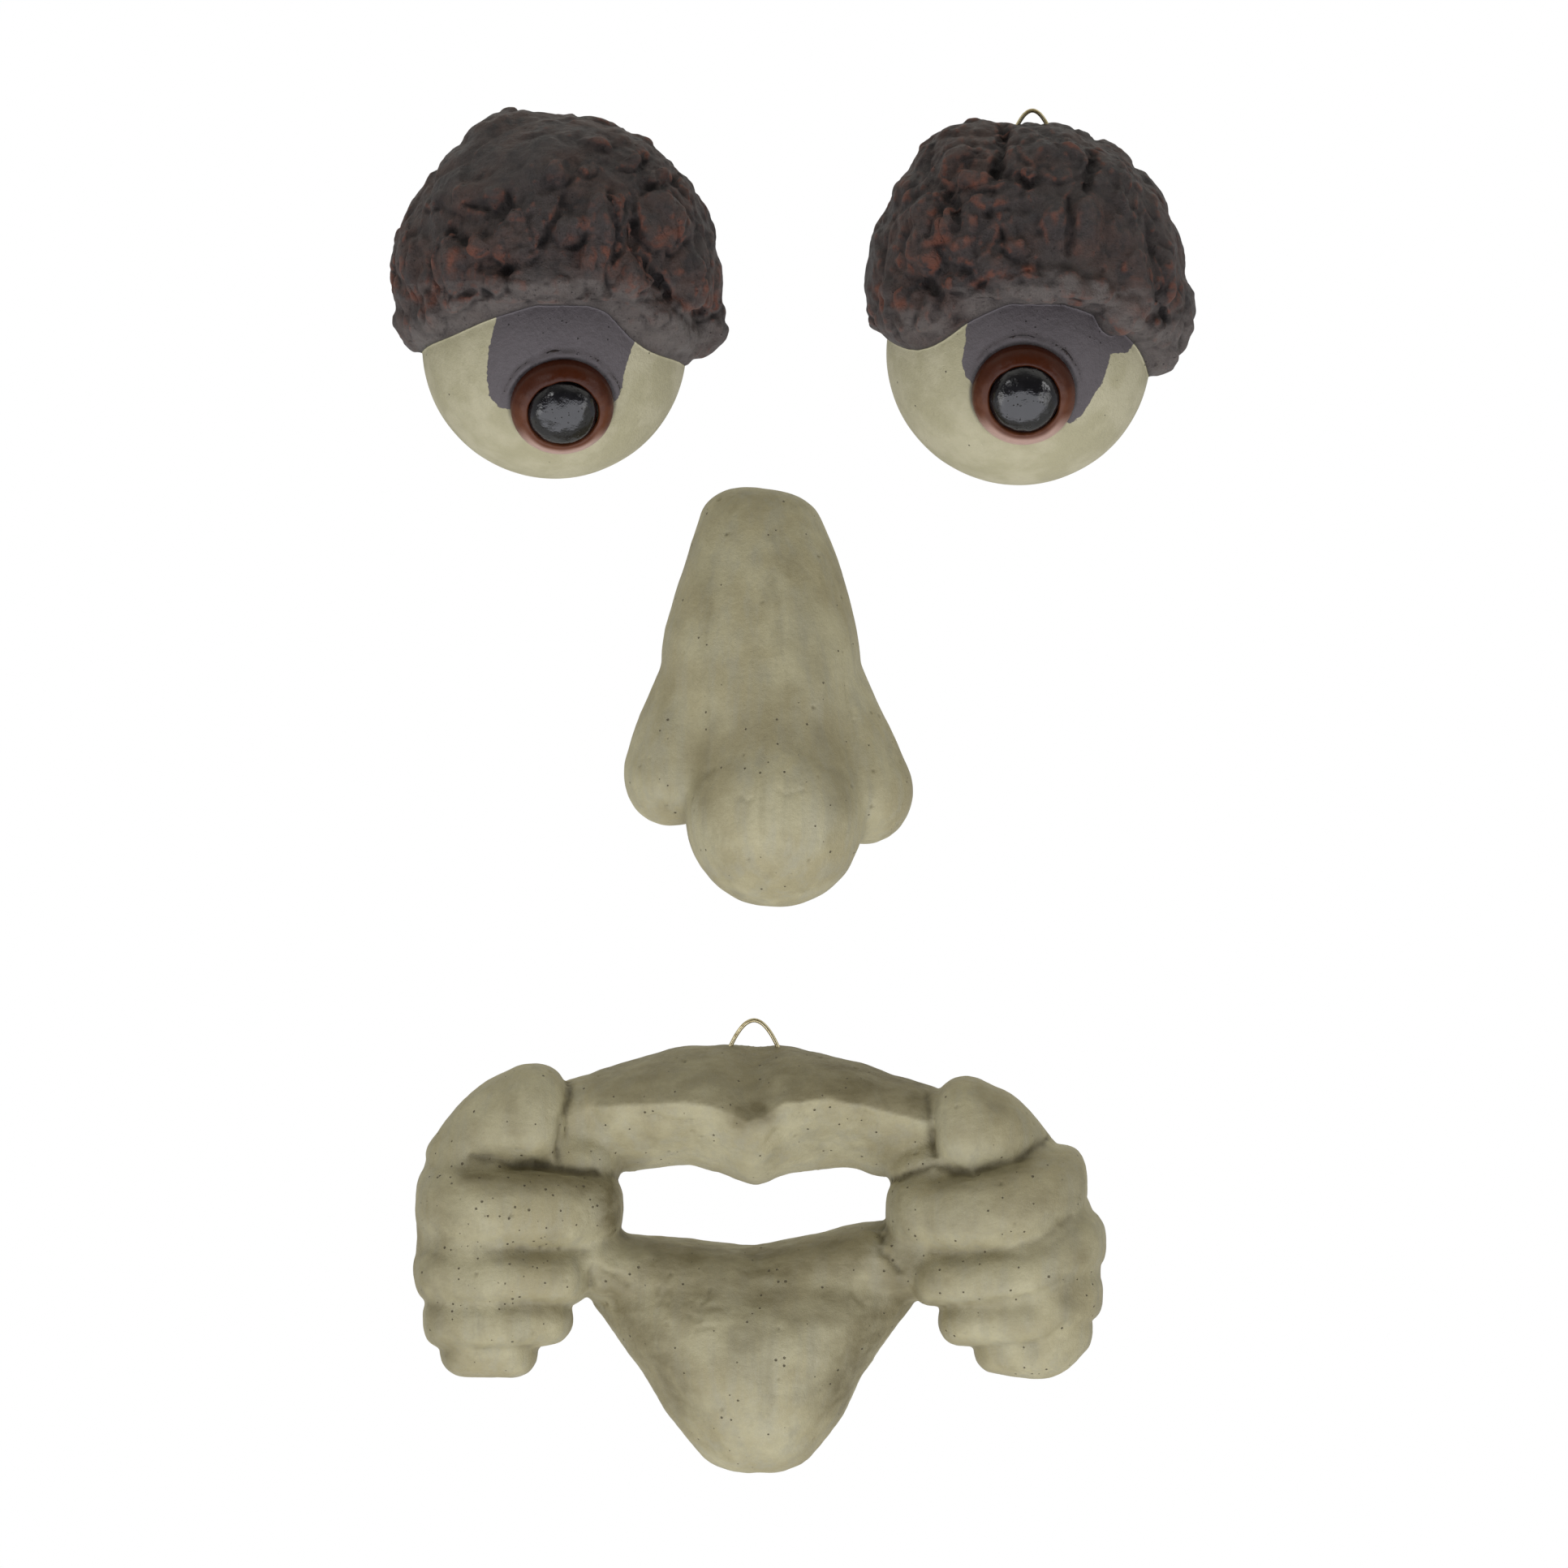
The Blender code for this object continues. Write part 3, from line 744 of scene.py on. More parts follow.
def pinholed(nodes: Nodes, given: Given) -> Socket:
    """The pinholes that air leaves in cast resin.

    Args:
        nodes: The group's nodes.
        given: The group's inputs.

    Returns:
        A mask that is 1 in a hole.
    """
    cells = nodes.add("TexVoronoi", {"Vector": given["Vector"], "Scale": given["Scale"]})
    chance = nodes.add("SeparateColor", {0: cells.outputs["Color"]})
    present = nodes.math("LESS_THAN", chance.outputs[0], given["Share"])
    size = nodes.math("MULTIPLY_ADD", chance.outputs[1], 0.75, 0.25)
    radius = nodes.math("MULTIPLY", size, given["Radius"])
    depth = nodes.math("SUBTRACT", radius, cells.outputs["Distance"])
    inside = nodes.math("DIVIDE", depth, nodes.math("MULTIPLY", radius, 0.5), clamped=True)
    return nodes.math("MULTIPLY", inside, present)


def dry_brushed(nodes: Nodes, given: Given) -> Socket:
    """Dry paint dragged over ridges, broken where the brush skipped.

    Args:
        nodes: The group's nodes.
        given: The group's inputs.

    Returns:
        The colour.
    """
    skips = nodes.noise(given["Vector"], given["Scale"], 3.0, 0.5)
    caught = nodes.math("MULTIPLY", given["Amount"], nodes.rise(skips, 0.36, 0.6), clamped=True)
    return nodes.mix(caught, given["Color"], given["Paint"])


def wiped(nodes: Nodes, given: Given) -> Socket:
    """A thin colour, laid as the amount says and fading with an uneven edge: a dark umber coat and painted
    shade in hollows and creases, and painted light on the eyes' rims.

    Args:
        nodes: The group's nodes.
        given: The group's inputs.

    Returns:
        The colour.
    """
    uneven = nodes.rise(nodes.noise(given["Vector"], given["Scale"], 5.0), 0.3, 0.7, 0.75, 1.2)
    amount = nodes.math("MULTIPLY", given["Amount"], uneven, clamped=True)
    return nodes.mix(amount, given["Color"], given["Paint"])


def toothed(nodes: Nodes, given: Given) -> Socket:
    """The fine tooth of painted resin.

    Args:
        nodes: The group's nodes.
        given: The group's inputs.

    Returns:
        Its height.
    """
    coarse = nodes.noise(given["Vector"], given["Scale"], 4.0, 0.6)
    fine = nodes.noise(given["Vector"], nodes.math("MULTIPLY", given["Scale"], 5.0), 2.0)
    return nodes.math("ADD", coarse, nodes.math("MULTIPLY", fine, 0.3))


def new_group(name: str, effect: Effect, output: str, **inputs: str) -> Tree:
    """Builds a shader node group that is read at a place and a scale.

    Args:
        name: Its name.
        effect: What works out its output.
        output: Its output's socket type, without NodeSocket.
        inputs: Its further inputs' names and socket types, likewise.

    Returns:
        The group.
    """
    tree = bpy.data.node_groups.new(name, "ShaderNodeTree")
    inputs |= {"Vector": "Vector", "Scale": "Float"}
    for label, kind in inputs.items():
        tree.interface.new_socket(label, in_out="INPUT", socket_type=f"NodeSocket{kind}")
    tree.interface.new_socket("Result", in_out="OUTPUT", socket_type=f"NodeSocket{output}")
    given = tree.nodes.new("NodeGroupInput").outputs
    result = effect(Nodes(tree), {label: given[label] for label in inputs})
    tree.links.new(result, tree.nodes.new("NodeGroupOutput").inputs["Result"])
    return tree


class Workshop:
    """The effects that several paints share, each as one node group."""

    def __init__(self) -> None:
        """Builds the groups."""
        toned = {"Color": "Color", "Contrast": "Float"}
        brushed = {"Color": "Color", "Paint": "Color", "Amount": "Float"}
        self.mottle = new_group("hand_laid_mottle", mottled, "Color", **toned)
        self.pinholes = new_group("air_pinholes", pinholed, "Float", Radius="Float", Share="Float")
        self.dry_brush = new_group("dry_brushed_ridges", dry_brushed, "Color", **brushed)
        # This effect lays umber, painted shade in hollows and creases, and painted light on the eyes' rims.
        self.wash_and_shade = new_group("wiped_wash", wiped, "Color", **brushed)
        self.tooth = new_group("painted_tooth", toothed, "Float")


class Painting(Nodes):
    """The nodes of one material, read in millimetres, with the shared effects."""

    tooth_span: Pair = (0.4, 0.9)

    def __init__(self, tree: Tree, workshop: Workshop) -> None:
        """Takes the material's tree and the shared effects.

        Args:
            tree: The tree.
            workshop: The effects.
        """
        super().__init__(tree)
        self.workshop = workshop
        self.at = self.stretched(self.add("TexCoord").outputs["Object"], (MILLIMETRES,) * 3)

    def effect(self, group: Tree, **values: Any) -> Socket:
        """Places a shared effect, read at the material's own coordinates unless the values say where."""
        return self.add("Group", {"Vector": self.at, **values}, node_tree=group).outputs[0]

    def mottled(self, colour: Any, scale: float, contrast: float) -> Socket:
        """A colour with an uneven tone."""
        return self.effect(self.workshop.mottle, Color=colour, Scale=scale, Contrast=contrast)

    def laid(self, group: Tree, colour: Socket, over: Colour, kept: str, scale: float, **at: Any) -> Socket:
        """A colour under a paint laid by a shared effect, as much of it as the casting keeps."""
        amount = self.kept(kept)
        return self.effect(group, Color=colour, Paint=over, Amount=amount, Scale=scale, **at)

    def pinholes(self, scale: float, radius: float, share: Any) -> Socket:
        """A mask that is 1 in pinholes."""
        return self.effect(self.workshop.pinholes, Scale=scale, Radius=radius, Share=share)

    def sheen(self, tooth: Socket, between: Pair) -> Socket:
        """A roughness between two, which goes up with the tooth."""
        return self.rise(tooth, *self.tooth_span, *between)


@dataclass(frozen=True)
class Coat:
    """A coat of paint or a metal: its name, how fine its tooth is, how deep its relief is in metres, and its
    sheen as two roughnesses."""

    name: str
    tooth: float
    relief: float
    sheen: Pair
    specular: float = 0.5
    metallic: float = 0.0

    def lay(self, nodes: Painting, tooth: Socket) -> tuple[Socket, Socket, Socket]:
        """Lays the coat.

        Args:
            nodes: The material's nodes.
            tooth: The height of its tooth.

        Returns:
            Its colour, its roughness and its relief as a height.
        """
        raise NotImplementedError

    def build(self, workshop: Workshop) -> Material:
        """Builds the material.

        Args:
            workshop: The shared effects.

        Returns:
            The material.
        """
        made = bpy.data.materials.new(self.name)
        made.use_nodes = True
        nodes = Painting(made.node_tree, workshop)
        shader = made.node_tree.nodes["Principled BSDF"]
        colour, roughness, height = self.lay(nodes, nodes.effect(workshop.tooth, Scale=self.tooth))
        bump = nodes.add("Bump", {"Height": height, "Distance": self.relief, "Strength": 1.0})
        nodes.put(shader, "Base Color", colour)
        nodes.put(shader, "Roughness", roughness)
        nodes.put(shader, "Normal", bump.outputs["Normal"])
        shader.inputs["Specular IOR Level"].default_value = self.specular
        shader.inputs["Metallic"].default_value = self.metallic
        return made


@dataclass(frozen=True)
class SageResin(Coat):
    """Cast resin painted in sage, with umber washed on and wiped off the high places, partly as painted
    shade, and painted shade in the creases.
    """

    pale: Colour = paint(178, 171, 138)
    deep: Colour = paint(160, 151, 117)
    cool: Colour = paint(160, 156, 134)
    # The umber, washed on, which is partly painted shade.
    umber: Colour = paint(108, 99, 68)
    # The dark of the painted shade in the creases.
    crevice: Colour = paint(74, 66, 38)
    hole: Colour = paint(92, 82, 56)
    pale_patches: Patches = Patches(0.045, 0.36, 0.64)
    cool_streaks: Patches = Patches(0.2, 0.42, 0.7, 0.6, 5.0, 0.65)
    umber_stains: Patches = Patches(0.13, 0.5, 0.74, 0.25, 5.0, 0.6)
    streak_stretch: Triple = (1.0, 1.0, 0.08)
    mottle: Pair = (0.12, 0.24)
    wash_scale: float = 0.2
    wash_stretch: Triple = (0.5, 1.0, 1.0)
    holes: Pair = (0.42, 0.2)
    hole_shade: float = 0.9
    hole_depth: float = 2.2

    def lay(self, nodes: Painting, tooth: Socket) -> tuple[Socket, Socket, Socket]:
        """Lays the coat.

        Args:
            nodes: The material's nodes.
            tooth: The height of its tooth.

        Returns:
            Its colour, its roughness and its relief as a height.
        """
        streaky = nodes.stretched(nodes.at, self.streak_stretch)
        colour = nodes.mix(nodes.patches(nodes.at, self.pale_patches), self.deep, self.pale)
        colour = nodes.mix(nodes.patches(streaky, self.cool_streaks), colour, self.cool)
        colour = nodes.mix(nodes.patches(streaky, self.umber_stains), colour, self.umber)
        colour = nodes.mottled(colour, *self.mottle)
        where = nodes.stretched(nodes.at, self.wash_stretch)
        # The washed-on umber, partly painted shade, then the painted shade in the creases.
        for wash_and_shade, kept in ((self.umber, "wash_and_shade"), (self.crevice, "crease_wash_and_shade")):
            colour = nodes.laid(nodes.workshop.wash_and_shade, colour, wash_and_shade, kept, self.wash_scale, Vector=where)
        holes = nodes.pinholes(*self.holes, nodes.kept("pitted"))
        colour = nodes.mix(nodes.math("MULTIPLY", holes, self.hole_shade), colour, self.hole)
        height = nodes.math("SUBTRACT", tooth, nodes.math("MULTIPLY", holes, self.hole_depth))
        return colour, nodes.sheen(tooth, self.sheen), height


@dataclass(frozen=True)
class EyePaint(Coat):
    """The paints of an eye: bark over the brow, cream on the ball, and a violet-grey lid between them."""

    bark: Colour = paint(73, 64, 62)
    bark_dark: Colour = paint(56, 50, 50)
    bark_brown: Colour = paint(84, 66, 60)
    rust: Colour = paint(131, 76, 56)
    # Painted light: the pale grey laid where the brow's lower rim and the undersides face down, as if lit
    # from below.
    lit_rim: Colour = paint(113, 105, 101)
    # The dark of the painted shade in the bark's hollows, and of random flecks.
    crevice: Colour = paint(33, 28, 28)
    cream: Colour = paint(182, 176, 147)
    cream_deep: Colour = paint(168, 162, 131)
    lid: Colour = paint(86, 80, 83)
    # Painted shadow: the dark of the line above the iris, and of the pinholes.
    painted_shadow: Colour = paint(44, 38, 39)
    brown_patches: Patches = Patches(0.06, 0.4, 0.62)
    dark_patches: Patches = Patches(0.19, 0.45, 0.7, detail=5.0)
    flecks: Patches = Patches(0.6, 0.47, 0.3, 0.6, 6.0, 0.7)
    cream_patches: Patches = Patches(0.07, 0.38, 0.62)
    bark_mottle: Pair = (0.4, 0.5)
    cream_mottle: Pair = (0.3, 0.1)
    lid_mottle: Pair = (0.3, 0.3)
    lit_rim_scale: float = 0.22
    rust_scale: float = 0.16
    crevice_scale: float = 0.3
    edge_scale: float = 0.6
    edge_stray: float = 0.8
    lid_edge: float = 0.12
    brow_edge: Pair = (0.25, 0.5)
    holes: Pair = (0.55, 0.2)
    hole_shade: float = 0.75
    hole_depth: float = 2.0
    bark_sheen: Pair = (0.4, 0.62)
    scars: Triple = (0.42, 8.0, 0.72)
    scar_depth: float = 6.0

    def bark_colour(self, nodes: Painting) -> Socket:
        """Lays the bark's colour: brown and dark patches, painted light on the downward-facing rim, rusty
        ridges, painted shade in the hollows, and dark flecks.

        Args:
            nodes: The material's nodes.

        Returns:
            The colour.
        """
        bark = nodes.mix(nodes.patches(nodes.at, self.brown_patches), self.bark, self.bark_brown)
        bark = nodes.mix(nodes.patches(nodes.at, self.dark_patches), bark, self.bark_dark)
        bark = nodes.mottled(bark, *self.bark_mottle)
        shared = nodes.workshop
        # Painted light on the rim and undersides that face down.
        bark = nodes.laid(shared.wash_and_shade, bark, self.lit_rim, "lit_rim", self.lit_rim_scale)
        bark = nodes.laid(shared.dry_brush, bark, self.rust, "ridge", self.rust_scale)
        # Painted shade in the hollows, beside the plates and along the brow's edge.
        bark = nodes.laid(shared.wash_and_shade, bark, self.crevice, "hollow", self.crevice_scale)
        return nodes.mix(nodes.patches(nodes.at, self.flecks), bark, self.crevice)

    def ball_colour(self, nodes: Painting) -> Socket:
        """Lays the ball's colour: cream, the lid with its uneven edge, and a painted shadow round the top of
        the iris.

        Args:
            nodes: The material's nodes.

        Returns:
            The colour.
        """
        cream = nodes.mix(nodes.patches(nodes.at, self.cream_patches), self.cream_deep, self.cream)
        cream = nodes.mottled(cream, *self.cream_mottle)
        uneven = nodes.noise(nodes.at, self.edge_scale, 4.0)
        edge = nodes.math("MULTIPLY_ADD", uneven, 2 * self.edge_stray, -self.edge_stray)
        on_lid = nodes.rise(nodes.math("ADD", nodes.kept("lid"), edge), -self.lid_edge, self.lid_edge)
        ball = nodes.mix(on_lid, cream, nodes.mottled(self.lid, *self.lid_mottle))
        return nodes.mix(nodes.kept("painted_shadow"), ball, self.painted_shadow)

    def lay(self, nodes: Painting, tooth: Socket) -> tuple[Socket, Socket, Socket]:
        """Lays the coat.

        Args:
            nodes: The material's nodes.
            tooth: The height of its tooth.

        Returns:
            Its colour, its roughness and its relief as a height.
        """
        on_brow = nodes.rise(nodes.kept("brow"), *self.brow_edge)
        colour = nodes.mix(on_brow, self.ball_colour(nodes), self.bark_colour(nodes))
        holes = nodes.pinholes(*self.holes, nodes.kept("pitted"))
        colour = nodes.mix(nodes.math("MULTIPLY", holes, self.hole_shade), colour, self.painted_shadow)
        sheens = {0: on_brow, 2: nodes.sheen(tooth, self.sheen), 3: nodes.sheen(tooth, self.bark_sheen)}
        roughness = nodes.add("Mix", sheens, data_type="FLOAT").outputs[0]
        rough_bark = nodes.math("MULTIPLY", on_brow, self.scar_depth)
        scars = nodes.math("MULTIPLY", nodes.noise(nodes.at, *self.scars), rough_bark)
        depth = nodes.math("MULTIPLY", holes, self.hole_depth)
        return colour, roughness, nodes.math("SUBTRACT", nodes.math("ADD", tooth, scars), depth)


@dataclass(frozen=True)
class IrisEnamel(Coat):
    """Glossy brown enamel on the raised iris ring, shaded above in paint, with a pinkish painted reflection
    at its outer edge below.
    """

    brown: Colour = paint(92, 51, 30)
    dark: Colour = paint(60, 22, 2)
    # Painted reflection: the pinkish white that stands for the light from below, reflected low on the ring's
    # outer edge.
    wear_and_reflection: Colour = paint(176, 146, 134)
    streaks: Patches = Patches(0.3, 0.4, 0.65, 0.35)
    mottle: Pair = (0.6, 0.2)

    def lay(self, nodes: Painting, tooth: Socket) -> tuple[Socket, Socket, Socket]:
        """Lays the coat.

        Args:
            nodes: The material's nodes.
            tooth: The height of its tooth.

        Returns:
            Its colour, its roughness and its relief as a height.
        """
        streaks = nodes.patches(nodes.at, self.streaks)
        # Painted shade darkens the upper part, along with random streaks; the painted reflection lies low on
        # the outer edge.
        shade = nodes.math("ADD", nodes.kept("shaded"), streaks, clamped=True)
        colour = nodes.mix(nodes.kept("wear_and_reflection"), nodes.mix(shade, self.brown, self.dark), self.wear_and_reflection)
        return nodes.mottled(colour, *self.mottle), nodes.sheen(tooth, self.sheen), tooth


@dataclass(frozen=True)
class PupilGloss(Coat):
    """Gloss black poured over the pupil, with bubbles and pits."""

    black: Colour = paint(10, 9, 12)
    smoke: Colour = paint(20, 19, 22)
    smoke_patches: Patches = Patches(0.25, 0.4, 0.7, detail=5.0)
    holes: Triple = (1.0, 0.33, 0.4)
    hole_shade: float = 0.9
    tooth_share: float = 0.35

    def lay(self, nodes: Painting, tooth: Socket) -> tuple[Socket, Socket, Socket]:
        """Lays the coat.

        Args:
            nodes: The material's nodes.
            tooth: The height of its tooth.

        Returns:
            Its colour, its roughness and its relief as a height.
        """
        colour = nodes.mix(nodes.patches(nodes.at, self.smoke_patches), self.black, self.smoke)
        holes = nodes.pinholes(*self.holes)
        colour = nodes.mix(nodes.math("MULTIPLY", holes, self.hole_shade), colour, self.black)
        height = nodes.math("SUBTRACT", nodes.math("MULTIPLY", tooth, self.tooth_share), holes)
        return colour, nodes.sheen(tooth, self.sheen), height


@dataclass(frozen=True)
class BrassWire(Coat):
    """Bright brass wire, dulled in patches."""

    bright: Colour = paint(216, 204, 166)
    dull: Colour = paint(168, 152, 110)
    dull_patches: Patches = Patches(0.5, 0.42, 0.68)
    mottle: Pair = (1.2, 0.2)

    def lay(self, nodes: Painting, tooth: Socket) -> tuple[Socket, Socket, Socket]:
        """Lays the coat.

        Args:
            nodes: The material's nodes.
            tooth: The height of its tooth.

        Returns:
            Its colour, its roughness and its relief as a height.
        """
        dulled = nodes.patches(nodes.at, self.dull_patches)
        colour = nodes.mottled(nodes.mix(dulled, self.bright, self.dull), *self.mottle)
        return colour, nodes.rise(dulled, 0.0, 1.0, *self.sheen), tooth


@dataclass
class Casting:
    """A cast relief: its solid's name, its place, how finely its skin is made, how many times that is
    smoothed, and its material slot."""

    node: str
    place: Pair
    voxel: float
    smoothing: int
    finish: Finish

    def forms(self) -> Mesh:
        """The casting's forms as overlapping shells."""
        raise NotImplementedError

    def weather(self, skin: Skin) -> None:
        """Works the relief of the skin, which is open at the trunk."""
        raise NotImplementedError

    def mask(self, skin: Skin) -> None:
        """Keeps the values of the weathered skin that the paints read."""
        raise NotImplementedError

    def extras(self) -> list[Mesh]:
        """Further closed shells of the casting."""
        return []

    def build(self, paints: list[Material]) -> None:
        """Builds the casting in place of its solid.

        Args:
            paints: Its materials, by slot number.
        """
        remesh = ("REMESH", {"mode": "VOXEL", "voxel_size": self.voxel})
        smooth = ("SMOOTH", {"factor": 0.5, "iterations": self.smoothing})
        skin = Skin(cut_flat(evaluated(self.forms(), remesh, smooth), (0, 3, 0), (0, 1, 0), closed=False))
        self.weather(skin)
        self.mask(skin)
        mesh = joined(cut_flat(skin.mesh, (0, 0, 0), (0, 1, 0)), *self.extras())
        there = Matrix.Translation((self.place[0], 0, self.place[1]))
        mesh.transform(there @ Matrix.Scale(1 / MILLIMETRES, 4))
        mesh.name = f"{self.node}_casting"
        for material in paints:
            mesh.materials.append(material)
        show(mesh, self.node)


@dataclass
class EyeCasting(Casting):
    """An eye: a ball with a painted lid, an iris and a pupil, hooded by a brow of bark."""

    brow: Lump
    brow_cut: float
    rim: tuple[BrowRim, ...]
    shoulders: tuple[Lump, ...]
    plates: tuple[Plate, ...]
    burls: tuple[Plate, ...]
    clefts: tuple[Stroke, ...]
    lid: Path
    smooth_bark: tuple[Stroke, ...]
    # The brow's lower rim: its relief is calmer and more pitted there, and it gets painted light where it
    # faces down.
    lit_rim: tuple[Stroke, ...]
    rust: tuple[Stroke, ...]
    gaze_right: float
    gaze_down: float
    bark_seed: float
    plate_thickness: float = 6.0
    plate_step: float = 1.2
    plate_wander: Pair = (2.0, 7.0)
    plate_edge: float = 0.9
    crack_spacing: float = 14.0
    crack_stretch: float = 1.5
    crack_share: float = 0.4
    crack_depth: float = 2.6
    crack_wander: float = 0.25
    wrinkle_size: float = 8.0
    wrinkle_rise: float = 1.0
    wrinkle_detail: Triple = (0.8, 2.0, 3)
    bark_edge: Rise = Rise(0.8, 3.0)
    bark_wander: Pair = (1.8, 11.0)
    folds: tuple[Ridges, ...] = (
        Ridges(9.5, (1.2, 1.0, 0.8), 0.5, 1.8, Seed.FOLDS),
        Ridges(5.0, (1.0, 1.0, 0.8), 0.4, 1.3, Seed.CREASES),
        Ridges(2.8, (1.0, 1.0, 1.0), math.inf, 0.5, Seed.KNOTS),
    )
    folds_mean: float = 0.95
    slab_size: float = 8.5
    slab_stretch: Triple = (1.25, 1.0, 0.8)
    slab_gap: float = 2.0
    slab_rise: float = 0.6
    crevice_share: float = 0.6
    cleft_stray: float = 1.3
    fine_relief: Pair = (3.0, 0.2)
    pits: Pits = Pits(3.4, 0.9, 0.2, 0.05, 0.7)
    rim_pits: float = 0.17
    rim_calm: float = 0.6
    side_relief: float = 0.1
    facing_from: Rise = Rise(0.05, 0.6)
    bare_below: Rise = Rise(0.9, 0.1)
    lid_fold_from: Rise = Rise(22.6, 24.2)
    lid_fold_to: Rise = Rise(27.5, 24.6)
    lid_fold_above: Rise = Rise(0.0, 9.0)
    fold_place: Pair = (7.0, 0.9)
    fold_height: Triple = (5.0, 0.75, 0.9)
    fold_highest: float = 1.4
    ball_unevenness: Pair = (9.0, 0.05)
    hollow_rounds: tuple[int, int, int] = (12, 40, 7)
    # Painted shade: a thin dark line where the brow meets the ball, and darkening in the hollows, broad
    # hollows and crevices beside plates.
    brow_line: float = 0.5
    line_shade: Rise = Rise(1.4, 0.0, 0.5)
    hollow_shade: Rise = Rise(0.08, 0.8, 0.6)
    broad_shade: Rise = Rise(0.1, 1.2, 0.25)
    crevice_shade: float = 0.3
    on_bark: Rise = Rise(0.5, 1.5)
    worn_patches: Rise = Rise(-0.3, 0.4)
    worn_size: float = 14.0
    worn_ridges: Rise = Rise(0.0, 0.08)
    worn_rust: float = 0.85
    rusty_ridges: Rise = Rise(0.07, 0.28, 0.7)
    # Painted light from below: how the rim and the low undersides that face down are painted paler, and how
    # much rust that hides.
    lit_facing_down: Rise = Rise(0.75, -0.15)
    lit_underside: Rise = Rise(0.25, -0.45, 0.35)
    lit_underside_below: float = 18.0
    lit_rim_over_rust: float = 0.6
    # Painted shadow: a dark line round the top of the iris ring, where its shadow falls upward in light from
    # below.
    shadow_ring: Rise = Rise(24.6, 23.0, 0.85)
    shadow_above: Rise = Rise(-32.0, -14.0)
    pitted_lid: Rise = Rise(-4.0, 6.0, 0.45)
    pitted_ball: float = 0.03
    pitted_bark: float = 0.3
    iris_ring: float = 26.0
    cornea_clear: float = 0.88
    cornea_sides: int = 128
    wobble: Pair = (6.0, 0.28)
    wobble_within: Rise = Rise(16.2, 14.0)
    ripple: Pair = (2.2, 0.1)
    ripple_inside: Rise = Rise(1.0, 4.0)
    iris_out: float = 42.0
    # Painted reflection low on the ring's outer edge, and painted shade on its upper part.
    reflection_below: Rise = Rise(-4.0, -11.0, 0.95)
    reflection_outside: Rise = Rise(12.0, 13.6)
    shaded_above: Rise = Rise(-4.0, 9.0)
    iris_profile: Path = (
        (15.8, 34.5), (15.8, 39.8), (15, 41.8), (13.2, 43.4), (11.4, 43.9), (10.7, 43),
    )
    pupil_profile: Path = ((10.7, 43), (10.4, 43.9), (8.6, 46), (4.8, 47.5), (0, 48))

    def look(self) -> Points:
        """The way the eye looks, as a unit vector."""
        right, down = math.radians(self.gaze_right), math.radians(self.gaze_down)
        level = math.cos(down)
        return np.array((math.sin(right) * level, -math.cos(right) * level, -math.sin(down)))

    def plate_lump(self, plate: Plate) -> Lump:
        """A plate as a lump that stands out of the brow's even surface.

        Args:
            plate: The plate.

        Returns:
            The lump.
        """
        brow = self.brow
        across = (plate.x - brow.x) / brow.half_x
        up = (plate.z - brow.z) / brow.half_z
        out = math.sqrt(max(1 - across**2 - up**2, 0.0))
        normal = Vector((across / brow.half_x, out / brow.half_out, up / brow.half_z)).normalized()
        thick = min(self.plate_thickness, 1.2 * min(plate.half_x, plate.half_z))
        depth = Vector((plate.half_x * normal.x, thick * normal.y, plate.half_z * normal.z)).length
        place = Vector((plate.x, brow.out + out * brow.half_out, plate.z)) + normal * (plate.rise - depth)
        return Lump(*place, plate.half_x, thick, plate.half_z, square=2.5, roll=plate.roll)

    def rim_lump(self, station: BrowRim) -> Lump:
        """A place on the brow's rim as a ball that rests on the eyeball, or on the trunk beside it.

        Args:
            station: The place.

        Returns:
            The lump.
        """
        z = station.z + station.radius
        on_ball = (EYEBALL_RADIUS - 2.0) ** 2 - station.x**2 - z**2
        out = math.sqrt(max(on_ball, (0.45 * station.radius) ** 2))
        return Lump(station.x, out, z, *(station.radius,) * 3)

    def forms(self) -> Mesh:
        """The brow's dome, rim, shoulders, plates and burls, and the ball."""
        dome = cut_flat(lumps_mesh([self.brow], 5), (0, 0, self.brow_cut), (0, 0, -1))
        rim = run([self.rim_lump(station) for station in self.rim])
        bark = [self.plate_lump(plate) for plate in self.plates + self.burls]
        ball = Lump(0, 0, 0, *(EYEBALL_RADIUS,) * 3)
        return joined(dome, lumps_mesh([*rim, *self.shoulders, *bark]), lumps_mesh([ball], 6))

    def coarse_bark(self, points: Points) -> Points:
        """The bark's coarse relief, as in the solids: the cracks between its plates, and wrinkles.

        Args:
            points: Points of the brow.

        Returns:
            How far each stands above the brow's even surface.
        """
        seed = Vector((self.bark_seed,) * 3)
        gaps, wrinkles = [], []
        for place in map(Vector, points):
            at = Vector((place.x, place.y, place.z / self.crack_stretch)) / self.crack_spacing + seed
            at += noise.noise_vector(at * 1.7) * self.crack_wander
            nearest = noise.voronoi(at)[0]
            gaps.append(nearest[1] - nearest[0])
            spot = place / self.wrinkle_size + Vector((self.bark_seed, 0, 0))
            wrinkles.append(noise.fractal(spot, *self.wrinkle_detail))
        cracks = 1 - step_between(0.0, self.crack_share, np.array(gaps))
        return self.wrinkle_rise * np.array(wrinkles) - self.crack_depth * cracks

